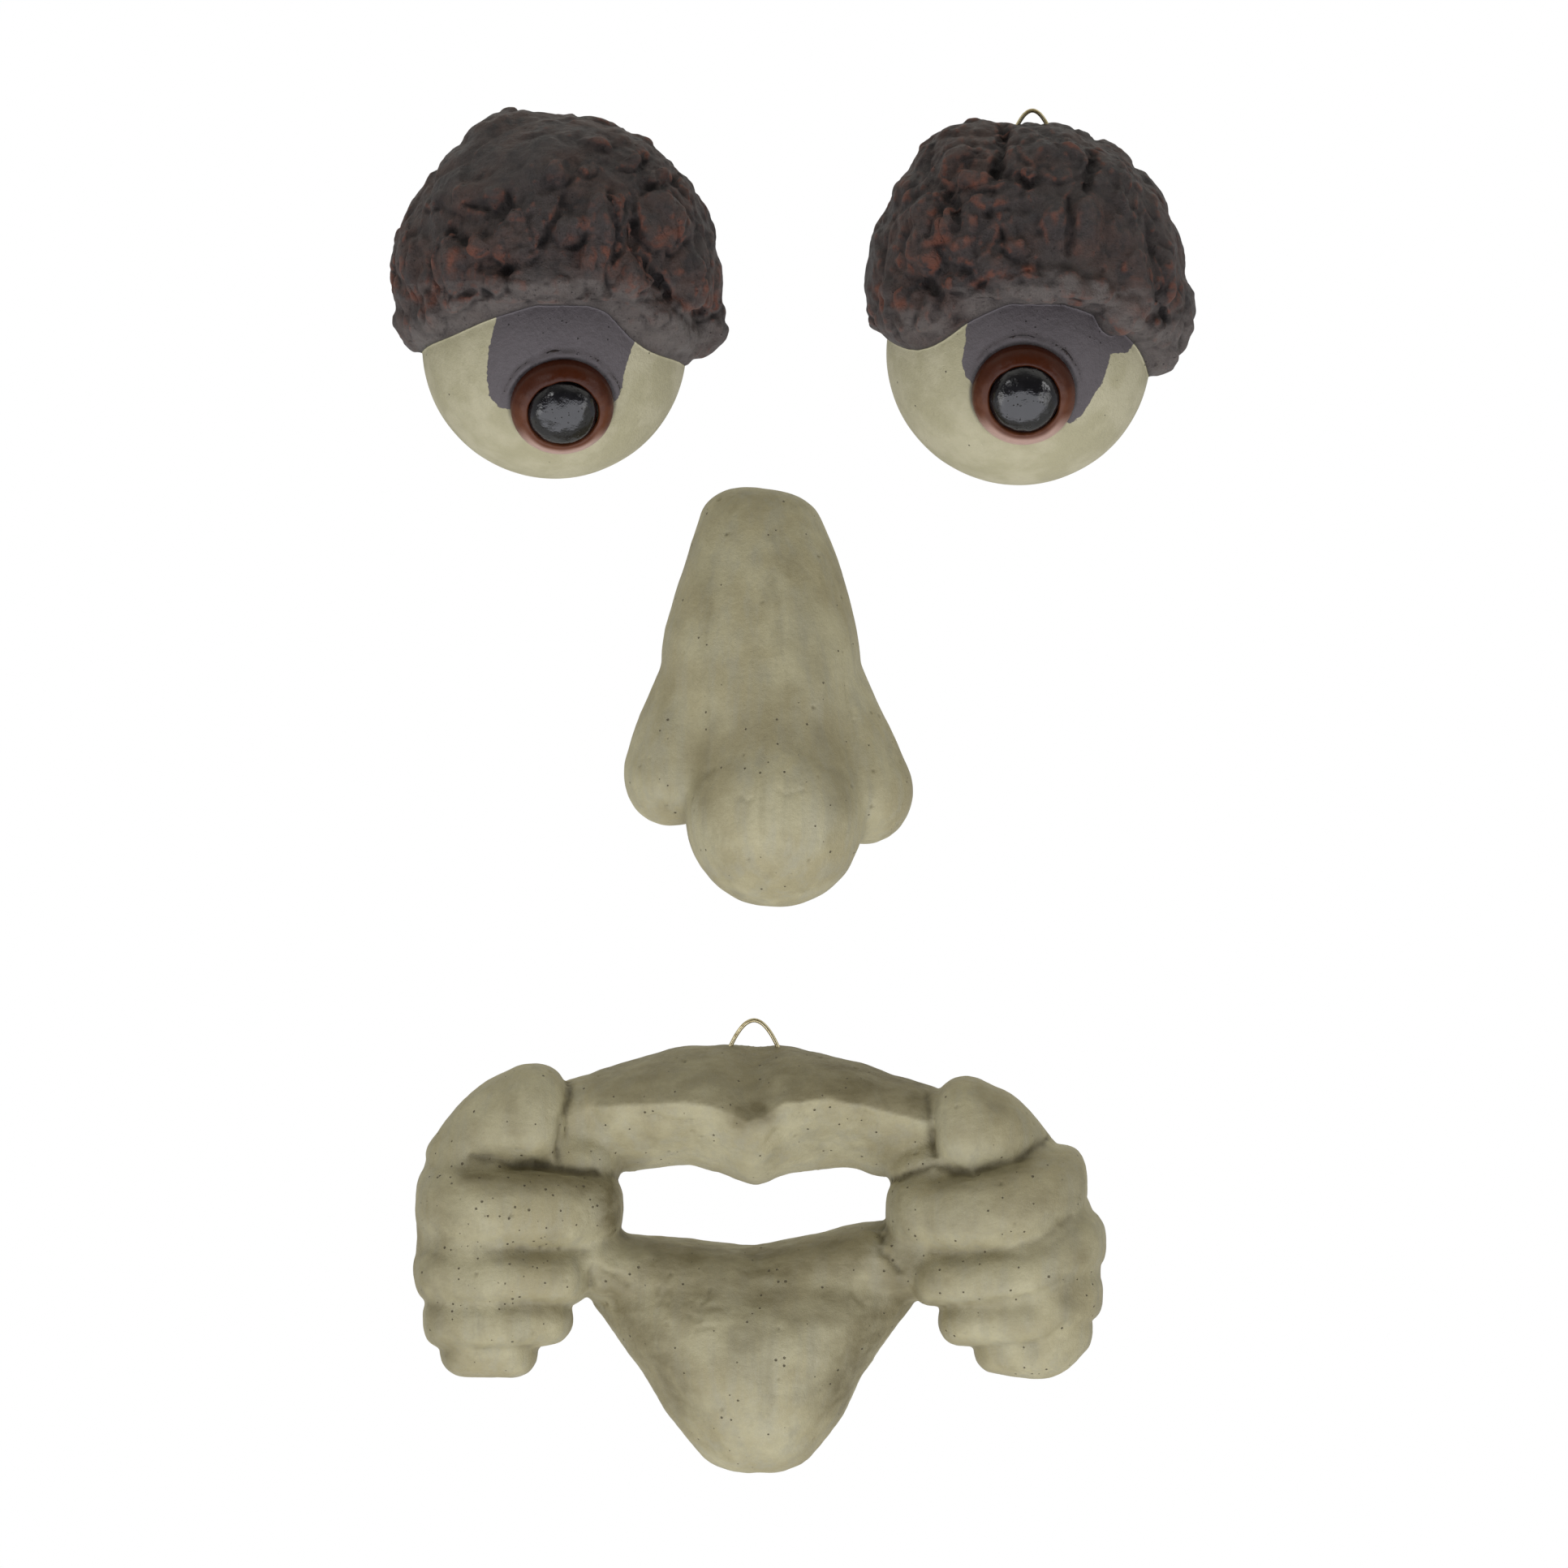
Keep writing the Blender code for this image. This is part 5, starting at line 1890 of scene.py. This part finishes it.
    # Strokes of washed-on umber, partly painted shade, as on the tongue's top and sides.
    wash_and_shade_strokes: tuple[Stroke, ...] = strokes(
        (4.6, 1, (-4, 44), (1, 45)),
        (7, 0.8, (-44, 20), (-44, 10)),
        (5, 0.7, (-88, 26.5), (-66, 25.5), (-46, 22)),
        (8.5, 0.72, (-32, 0), (-4, -3), (26, 0)),
        (10, 0.62, (-24, -12), (-3, -10), (8, -12)),
        (8, 0.45, (-3, -6), (-6, -26)),
        (4, 0.3, (-83, 0.5), (-55, -0.5)),
        (3, 0.3, (-79, -16), (-60, -16)),
        (4.5, 0.55, (56, 25), (68, 24), (82, 27)),
        (4, 0.33, (58, 0), (78, 0.5), (92, 6)),
        (3.5, 0.33, (60, -17), (80, -14.5)),
        (6, 0.45, (92, 10), (98, 2)),
        (5, 0.4, (95, -10), (98, -14)),
        (4, 0.4, (68, 50), (74, 44)),
        (6, 0.4, (-100, 2), (-97, -30)),
        (6, 0.3, (-79, 44), (-70, 51)),
        (5, 0.45, (44, 16), (46, 6)),
        (8, 0.58, (-46, -10), (-34, -26), (-24, -42)),
        (9, 0.68, (46, -6), (34, -24), (24, -42)),
        (9, 0.62, (12, -14), (32, -14)),
        (6, 0.18, (16, 38), (44, 34)),
        (8, 0.4, (54, 15), (88, 17)),
        (8, 0.35, (-97, 18), (-95, -8)),
        (8, 0.28, (-90, 34), (-72, 44)),
        (8, 0.25, (82, 34), (64, 42)),
        (7, 0.3, (94, 22), (99, 4)),
    )
    pitted_fist: tuple[Stroke, ...] = strokes((20, 0.7, (-88, 18), (-74, 10)))

    def forms(self) -> Mesh:
        """The lips, the tongue and the fists."""
        lips = UPPER_LIP, LOWER_LIP, TONGUE_LEFT, TONGUE_RIGHT
        hands = LEFT_THUMB, *LEFT_FINGERS, LEFT_PALM, RIGHT_THUMB, *RIGHT_FINGERS, RIGHT_PALM
        return lumps_mesh([lump for form in (*lips, *hands) for lump in run(form)] + list(MOUTH_CORNERS))

    def above_ridge(self, x: Points, z: Points) -> Points:
        """How far points lie above the ridge between the two planes of the upper lip."""
        return z - np.interp(x, *np.array(LIP_RIDGE).T)

    def weather(self, skin: Skin) -> None:
        """Deepens the creases, sharpens the upper lip's ridge, and leaves tool marks and faint unevenness.

        Args:
            skin: The skin.
        """
        aside = np.abs(skin.points[:, 0])
        self.smooth(skin, self.fists_from.of(aside))
        tongue = self.tongue_within.of(aside) * self.tongue_below.of(skin.points[:, 2])
        for (rounds, share), where in ((self.tongue_eased, tongue), (self.last_eased, 1.0)):
            skin.ease_depth(rounds, share * where * skin.front())
        self.roughen(skin)
        x, z = skin.points[:, 0], skin.points[:, 2]
        lip = self.lip_from.of(x) * self.lip_to.of(x)
        ridge = np.exp(-np.abs(self.above_ridge(x, z)) / self.ridge_width)
        skin.raise_by(self.ridge_rise * lip * skin.front() * ridge)
        skin.groove(self.creases, self.crease_stray)
        skin.groove(self.marks, self.mark_stray)
        skin.raise_by(-skin.pitted(self.pits, Seed.CAST_PITS))

    def mask(self, skin: Skin) -> None:
        """Keeps the washed-on umber with its painted shade, the painted shade in the creases, and how pitted
        the skin is.

        Args:
            skin: The weathered skin.
        """
        stray = wander(skin.points, *self.wash_wander, Seed.WASH_WANDER, 3)
        moved = skin.points + stray
        hollow, wide = (skin.hollow(rounds) for rounds in self.hollow_rounds)
        front = skin.front()
        # Painted shade along the creases and in hollows, partly a washed-on umber.
        crease_wash_and_shade = washed(skin.points + self.crease_wander * stray, self.crease_wash_and_shade_strokes) * front
        deep = crease_wash_and_shade * self.crease_in.of(hollow) + self.hollow_shade.of(hollow)
        # Painted shade on the upper lip's upward-facing plane above its ridge, darker towards the right, laid
        # with the umber.
        above = self.above_ridge(skin.points[:, 0], skin.points[:, 2] + self.ridge_wander * stray[:, 2])
        x = moved[:, 0]
        upper = self.upper_from.of(x) * self.upper_to.of(x) * self.upper_above.of(above)
        upper = upper * (self.upper_shade + self.upper_shade_right.of(x))
        wash_and_shade = self.wash_share + np.maximum(washed(moved, self.wash_and_shade_strokes) * front, upper)
        patchy = self.pitted_patches.of(soft_noise(skin.points, self.pitted_size, Seed.PITTED, 2))
        skin.keep("crease_wash_and_shade", np.clip(deep, 0, 1))
        skin.keep("wash_and_shade", np.clip(wash_and_shade + self.wide_hollow_shade.of(wide), 0, 1))
        skin.keep("pitted", self.pitted_share + washed(skin.points, self.pitted_fist) + patchy)


@dataclass
class Hanger:
    """A wire loop whose legs are set in a casting."""

    node: str
    foot: Pair
    half_width: float
    diameter: float = 0.0013
    from_trunk: float = 0.003
    height: float = 0.0085
    leg_set_in: float = 0.006
    steps: int = 60

    def build(self, brass: Material) -> None:
        """Builds the hanger in place of its solid.

        Args:
            brass: Its material.
        """
        bend = self.height / self.half_width**2
        reach = math.sqrt((self.height + self.leg_set_in) / bend)
        curve = bpy.data.curves.new(f"{self.node}_wire", "CURVE")
        curve.dimensions = "3D"
        curve.bevel_depth = self.diameter / 2
        curve.bevel_resolution = 6
        curve.use_fill_caps = True
        spline = curve.splines.new("POLY")
        spline.points.add(self.steps)
        for k, point in enumerate(spline.points):
            x = reach * math.sin(math.pi / 2 * (2 * k / self.steps - 1))
            point.co = (self.foot[0] + x, -self.from_trunk, self.foot[1] + self.height - bend * x * x, 1.0)
        bent = bpy.data.objects.new(curve.name, curve)
        mesh = bpy.data.meshes.new_from_object(bent)
        bpy.data.objects.remove(bent)
        mesh.name = f"{self.node}_wire"
        mesh.materials.clear()
        mesh.materials.append(brass)
        show(mesh, self.node)


class Softbox(NamedTuple):
    """A lamp that faces the middle of the face: its name, its place from there, its width and height, how
    bright it is, and its tint."""

    name: str
    place: Triple
    wide: float
    high: float
    radiance: float
    tint: Triple = (1.0, 1.0, 1.0)


@dataclass
class Studio:
    """The camera, the floor and the light."""

    middle: Triple = (0.005, -0.02, -0.02725)
    distance: float = 2.68
    lens: float = 199.75
    sensor: float = 36.0
    floor_drop: float = 1.5
    floor_half: float = 3.0
    floor_colour: Colour = (0.82, 0.82, 0.81, 1.0)
    floor_roughness: float = 0.9
    cool_below: Colour = (1.0, 1.0, 1.05, 1.0)
    warm_above: Colour = (1.0, 0.99, 0.93, 1.0)
    lamps: tuple[Softbox, ...] = (
        Softbox("left_softbox", (-0.9, -0.75, -0.45), 0.5, 0.5, 2.3),
        Softbox("right_softbox", (0.9, -0.75, -0.45), 0.5, 0.5, 1.472),
        Softbox("low_softbox", (0.0, -0.9, -0.9), 2.2, 1.1, 1.7, (0.97, 0.99, 1.1)),
        Softbox("left_spot", (-0.5, -0.95, 0.27), 0.28, 0.28, 5.0),
        Softbox("right_spot", (0.85, -0.68, 0.17), 0.28, 0.28, 4.0),
    )

    def camera(self) -> None:
        """Stands the camera square in front of the face."""
        data = bpy.data.cameras.new("camera")
        data.lens = self.lens
        data.sensor_width = self.sensor
        obj = bpy.data.objects.new("camera", data)
        obj.location = Vector(self.middle) + Vector((0, -self.distance, 0))
        obj.rotation_euler = (math.pi / 2, 0, 0)
        bpy.context.scene.collection.objects.link(obj)
        bpy.context.scene.camera = obj

    def floor(self) -> None:
        """Lays a plain pale floor below the face."""
        made = bpy.data.materials.new("pale_floor")
        made.use_nodes = True
        shader = made.node_tree.nodes["Principled BSDF"]
        shader.inputs["Base Color"].default_value = self.floor_colour
        shader.inputs["Roughness"].default_value = self.floor_roughness
        half = self.floor_half
        mesh = bpy.data.meshes.new("floor")
        corners = [(-half, -half, 0), (half, -half, 0), (half, half, 0), (-half, half, 0)]
        mesh.from_pydata(corners, [], [(0, 1, 2, 3)])
        mesh.materials.append(made)
        obj = bpy.data.objects.new("floor", mesh)
        obj.location = (0, 0, self.middle[2] - self.floor_drop)
        bpy.context.scene.collection.objects.link(obj)

    def hang(self, lamp: Softbox) -> None:
        """Hangs a lamp.

        Args:
            lamp: The lamp.
        """
        data = bpy.data.lights.new(lamp.name, "AREA")
        data.shape = "RECTANGLE"
        data.color = lamp.tint
        data.size = lamp.wide
        data.size_y = lamp.high
        data.energy = lamp.radiance * math.pi * lamp.wide * lamp.high
        obj = bpy.data.objects.new(lamp.name, data)
        obj.location = Vector(self.middle) + Vector(lamp.place)
        obj.rotation_euler = (-Vector(lamp.place)).to_track_quat("-Z", "Y").to_euler()
        bpy.context.scene.collection.objects.link(obj)

    def world(self) -> None:
        """Surrounds the face with soft light, on plain white."""
        world = bpy.data.worlds.new("studio")
        world.use_nodes = True
        tree = world.node_tree
        nodes = Nodes(tree)
        _, ahead, up = nodes.add("SeparateXYZ", {0: nodes.add("TexCoord").outputs["Generated"]}).outputs
        above = nodes.rise(up, 0.1, 0.8, 0.43, 0.88)
        below = nodes.rise(up, -0.1, -0.6, 0.0, 0.2)
        in_front = nodes.rise(ahead, -0.3, -0.8, 1.0, 0.25)
        glow = nodes.math("MULTIPLY", nodes.math("ADD", above, below), in_front)
        tint = nodes.mix(nodes.rise(up, -0.3, 0.4), self.cool_below, self.warm_above)
        background = tree.nodes["Background"]
        nodes.put(background, "Color", nodes.tinted(tint, glow))
        white = nodes.add("Background", {"Color": (1, 1, 1, 1), "Strength": 1.0})
        seen = nodes.add("LightPath").outputs["Is Camera Ray"]
        both = nodes.add("MixShader", {0: seen, 1: background.outputs[0], 2: white.outputs[0]})
        nodes.put(tree.nodes["World Output"], "Surface", both.outputs[0])
        bpy.context.scene.world = world

    def build(self) -> None:
        """Sets up the studio."""
        self.camera()
        self.floor()
        self.world()
        for lamp in self.lamps:
            self.hang(lamp)
        bpy.context.scene.view_settings.view_transform = "Standard"


LEFT_EYE = EyeCasting(
    node="left_eye",
    place=(-0.06625, 0.1085),
    voxel=0.6,
    smoothing=5,
    finish=Finish.EYE,
    brow=Lump(1, 0, 21, 51.4, 46.5, 52),
    brow_cut=11.0,
    rim=rims(
        (-42, -2, 8.6), (-30, 0.4, 11.5), (-15, 5.8, 12), (2, 9.4, 12), (19, 5.6, 12), (29.5, -3.6, 12),
        (38.5, -6.4, 10), (46.2, -1.4, 8.6),
    ),
    shoulders=lumps(
        (-32, 0, 27, 19, 30, 20),
        (-13.5, 0, 54, 18.5, 22, 20.4),
    ),
    plates=plates(
        (34.8, 38.2, 8.5, 11, 3.4, 8), (43.5, 19.5, 8.5, 11.5, 2.6), (-30, 22.5, 9, 12.5, 3, -10),
        (-44, 23.5, 6.5, 12, 1.8), (14.5, 31, 4.5, 15, 2.6, 6), (-11, 31, 8.5, 8, 2.2), (1, 51, 4, 4, 1.8),
        (-24, 45, 10, 7, 1.8), (24, 22, 7, 9, 2.4), (-2, 19, 12, 6, 2),
    ),
    burls=plates(
        (18.6, 41.5, 2.6, 5, 2, -10), (10, 52.9, 2, 2.4, 1.9), (1, 52.4, 2.6, 3.8, 2, 15),
        (-18.5, 45.4, 4.5, 3.2, 2), (-35, 44.6, 4.6, 3.4, 1.8), (5.7, 34.5, 5, 5.2, 2.4),
        (11.2, 24.3, 3, 6, 3), (17.6, 29.6, 2.4, 5.4, 2.8), (-21.7, 29, 5, 3.8, 2.8),
        (-31, 22, 3.4, 7.4, 3.8, 10), (-36.5, 9.5, 3.6, 6, 2.2, 8), (27.6, 18.9, 6.4, 3.8, 2.8, 18),
        (4.1, 18.1, 2.8, 2.6, 2.6), (-18.5, 18.1, 4.8, 3.8, 2.6), (-10.5, 38.6, 3.6, 3, 2.4, 20),
        (-9, 26, 3.8, 3, 2.6, -15), (33, 52, 5, 2.8, 1.8, -30), (24, 57, 5.5, 3, 1.6, -20),
        (-29.6, 12, 4.4, 3.8, 2), (31.5, 8.5, 3, 3.2, 1.4), (14, 62, 5, 3, 1.4, 10),
    ),
    clefts=strokes(
        (1.6, 2.2, (24.4, 36), (25.6, 27.5), (31, 19.5), (36.5, 14.5)),
        (1.1, 1.5, (4.9, 44.7), (-0.6, 31.4), (-5.3, 26.7), (-13.1, 21.2)),
        (2.2, 2, (-29.5, 33.5), (-27, 31)),
        (1.1, 1.5, (-13, 45.5), (-12, 41), (-17, 39.5), (-26, 41)),
        (1, 1.2, (19.5, 24), (20.5, 34), (18.5, 45)),
        (1.1, 1.2, (27, 45), (36, 51), (42, 44)),
        (1.2, 1.4, (-24, 14), (-32, 13), (-35.5, 20), (-36, 28)),
    ),
    lid=(
        (-15, 14), (-17.5, 3.75), (-19, -1.75), (-19.75, -6.75), (-19.75, -11.75), (-19, -16.75),
        (-16, -20.5), (-13, -20.9), (3.5, -20.5), (18.6, -19.5), (20.6, -17), (21.75, -13.5), (22.25, -9.25),
        (23.5, -5.5), (24.75, -1.75), (28, 6), (26, 14),
    ),
    smooth_bark=strokes((18, 0.9, (-24, 54), (-4, 62))),
    lit_rim=strokes(
        (6.5, 1, (-38, 2), (-24, 6), (-8, 11), (10, 13), (24, 8), (38, 0)),
        (6, 0.7, (30, 4), (46, 4)),
    ),
    rust=strokes(
        (1.6, 0.9, (-29.5, 27), (-33, 20), (-38.5, 9), (-38, 5.5)),
        (1.4, 0.7, (-46, 15.5), (-41, 13)),
        (1.2, 0.7, (25, 33), (31, 30.5), (38, 33.5)),
        (1.3, 0.8, (36, 14), (43.5, 9.5), (50, 15)),
        (2.4, 0.6, (1, 32), (6, 31)),
        (1.8, 0.6, (9, 26), (12.5, 20)),
    ),
    gaze_right=5.6,
    gaze_down=31.0,
    bark_seed=3.7,
)
RIGHT_EYE = EyeCasting(
    node="right_eye",
    place=(0.07775, 0.1065),
    voxel=0.6,
    smoothing=5,
    finish=Finish.EYE,
    brow=Lump(2.4, 0, 21.5, 50.4, 46.5, 50.8),
    brow_cut=13.5,
    rim=rims(
        (-40, 5, 8.6), (-29, -1, 10.5), (-17, 5.6, 11.5), (2, 11.8, 12), (18, 8.6, 12.5), (30, 3, 12),
        (40, -7.4, 10.6), (45, -1, 8.6),
    ),
    shoulders=lumps(
        (-14, 0, 52, 20.5, 26, 20.8),
        (36, 0, 14, 20.2, 26, 18.4),
    ),
    plates=plates(
        (-17, 36, 10.5, 10, 2.4, -12), (-32, 30, 7.5, 9, 2.4), (-39, 14, 8, 8.5, 2.6),
        (-18, 58, 9.5, 9, 2.6), (10, 60, 10, 9, 2.2), (30, 52, 8, 9.5, 1.8, 15), (34, 16, 9.5, 13, 3.4),
        (6, 19, 13, 6.5, 2.6), (-8, 24, 9, 5.5, 2.2, 20), (46, 23, 6.5, 12, 1.6), (-35.5, 51, 6, 6, 1.6),
    ),
    burls=plates(
        (-28.6, 41, 8.4, 10, 2.8, -20), (-38.2, 48.4, 4.8, 6, 2, 20), (-14.5, 52.5, 7, 4, 2.6, 10),
        (2.6, 53, 3.2, 2.8, 2.2), (29.1, 58.5, 7, 5.4, 1.8, 25), (-2.2, 30.8, 3.6, 2.8, 2.8),
        (-10.2, 25.2, 5, 2.4, 2.9, 15), (-41.4, 18, 4, 4.2, 2.8), (-36.4, 13.5, 4.8, 4.8, 3.2),
        (-28.6, 29.2, 6.4, 5.6, 2.6), (35.5, 22, 6, 8.4, 3.6), (21, 17, 8.4, 5.4, 3),
        (46, 19.6, 3.6, 8.4, 2), (31.5, 45.2, 3.6, 5.4, 2.2), (9.9, 38.8, 6, 8.4, 2.2), (20, 38, 5, 10, 2.2),
        (-16, 31.5, 6.6, 2.4, 2.4, -12), (-10, 44.5, 6, 2.6, 2.2, 8), (1, 22.6, 3.4, 2.6, 3),
        (-20, 19.5, 4.4, 3.4, 2.6), (44, 6, 4, 4.4, 1.8),
    ),
    clefts=strokes(
        (1.5, 2.4, (-4.6, 71), (-6.2, 59.7), (-7.5, 52.5)),
        (1.4, 2.2, (21.5, 60.5), (20.5, 55), (19.5, 49)),
        (1.9, 2.4, (-21.5, 45), (-20, 41), (-19.4, 36.6)),
        (1.8, 2, (4.2, 24.6), (5.2, 22.8)),
        (0.9, 1, (-16.5, 17), (-10, 20.2), (-3.6, 21.6), (3, 22.8)),
        (1.2, 1.6, (39, 40), (41, 30), (42, 20), (44, 10)),
        (1, 1.4, (-1.2, 53.5), (2.6, 49.6), (6, 52.5)),
        (1.2, 1.5, (-30, 22.5), (-26, 15), (-27, 8)),
        (1, 1.2, (14.4, 45), (15, 36), (13, 29)),
        (1, 1.2, (-12, 60), (-20, 57.5), (-22, 52)),
    ),
    lid=(
        (-15, 14), (-17, 5.75), (-17.5, 0.25), (-18.25, -4.75), (-17.25, -8.5), (-14.25, -12.25),
        (0.75, -14.5), (15.2, -23.2), (18.25, -21), (20.75, -17.25), (23.4, -13), (25.25, -9.75),
        (27, -4.75), (27.5, -1.75), (33, -1.2), (36, 4), (30, 16),
    ),
    smooth_bark=strokes((11, 0.7, (14, 30), (24, 46))),
    lit_rim=strokes(
        (4.2, 1, (-14, 14), (0, 15.5), (11, 14.5)),
        (6, 0.8, (12, 21), (24, 18), (32, 12)),
        (6.5, 0.9, (36, 4), (42, -2), (48, 2)),
        (4, 0.6, (-34, 8), (-26, 6)),
    ),
    rust=strokes(
        (1.2, 1, (-16.5, 17.5), (-10, 20.8), (-3.6, 22.4), (2.6, 23.4)),
        (1.8, 0.8, (-44, 19), (-42, 13), (-36, 13.5)),
        (1.3, 0.8, (-30, 31.5), (-23, 32.5)),
        (1.2, 0.7, (-21, 48.5), (-12, 50.5)),
        (1.3, 0.7, (-40, 53), (-36, 52)),
        (1.4, 0.7, (-3, 32.5), (0.5, 30.5)),
        (1.6, 0.6, (32, 12), (38, 10)),
    ),
    gaze_right=1.0,
    gaze_down=22.0,
    bark_seed=11.2,
    plate_step=0.8,
)
NOSE = NoseCasting("nose", (0.0, 0.0), 0.6, 50, Finish.RESIN)
MOUTH = MouthCasting("mouth", (-0.003, -0.1735), 0.74, 8, Finish.RESIN)
HANGERS = (
    Hanger("right_eye_hanger", (0.082, 0.173), 0.0063),
    Hanger("mouth_hanger", (-0.0043, -0.109), 0.0075),
)


def main() -> None:
    """Builds the four castings, the two hangers and the studio."""
    logging.basicConfig(level=logging.INFO, format="%(name)s: %(message)s")
    Studio().build()
    workshop = Workshop()
    bark_and_ball = EyePaint("bark_cream_and_lid", 0.6, 0.00038, (0.5, 0.66))
    iris = IrisEnamel("brown_iris", 0.8, 0.00012, (0.28, 0.4), specular=0.22)
    pupil = PupilGloss("gloss_black_pupil", 0.35, 0.0005, (0.05, 0.16), specular=0.6)
    eye_paints = [coat.build(workshop) for coat in (bark_and_ball, iris, pupil)]
    resin = SageResin("sage_resin", 0.55, 0.00035, (0.54, 0.72)).build(workshop)
    brass = BrassWire("brass_wire", 2.5, 0.000012, (0.22, 0.42), metallic=1.0).build(workshop)
    for eye in (LEFT_EYE, RIGHT_EYE):
        eye.build(eye_paints)
    for casting in (NOSE, MOUTH):
        casting.build([resin])
    for hanger in HANGERS:
        hanger.build(brass)


if __name__ == "__main__":
    main()
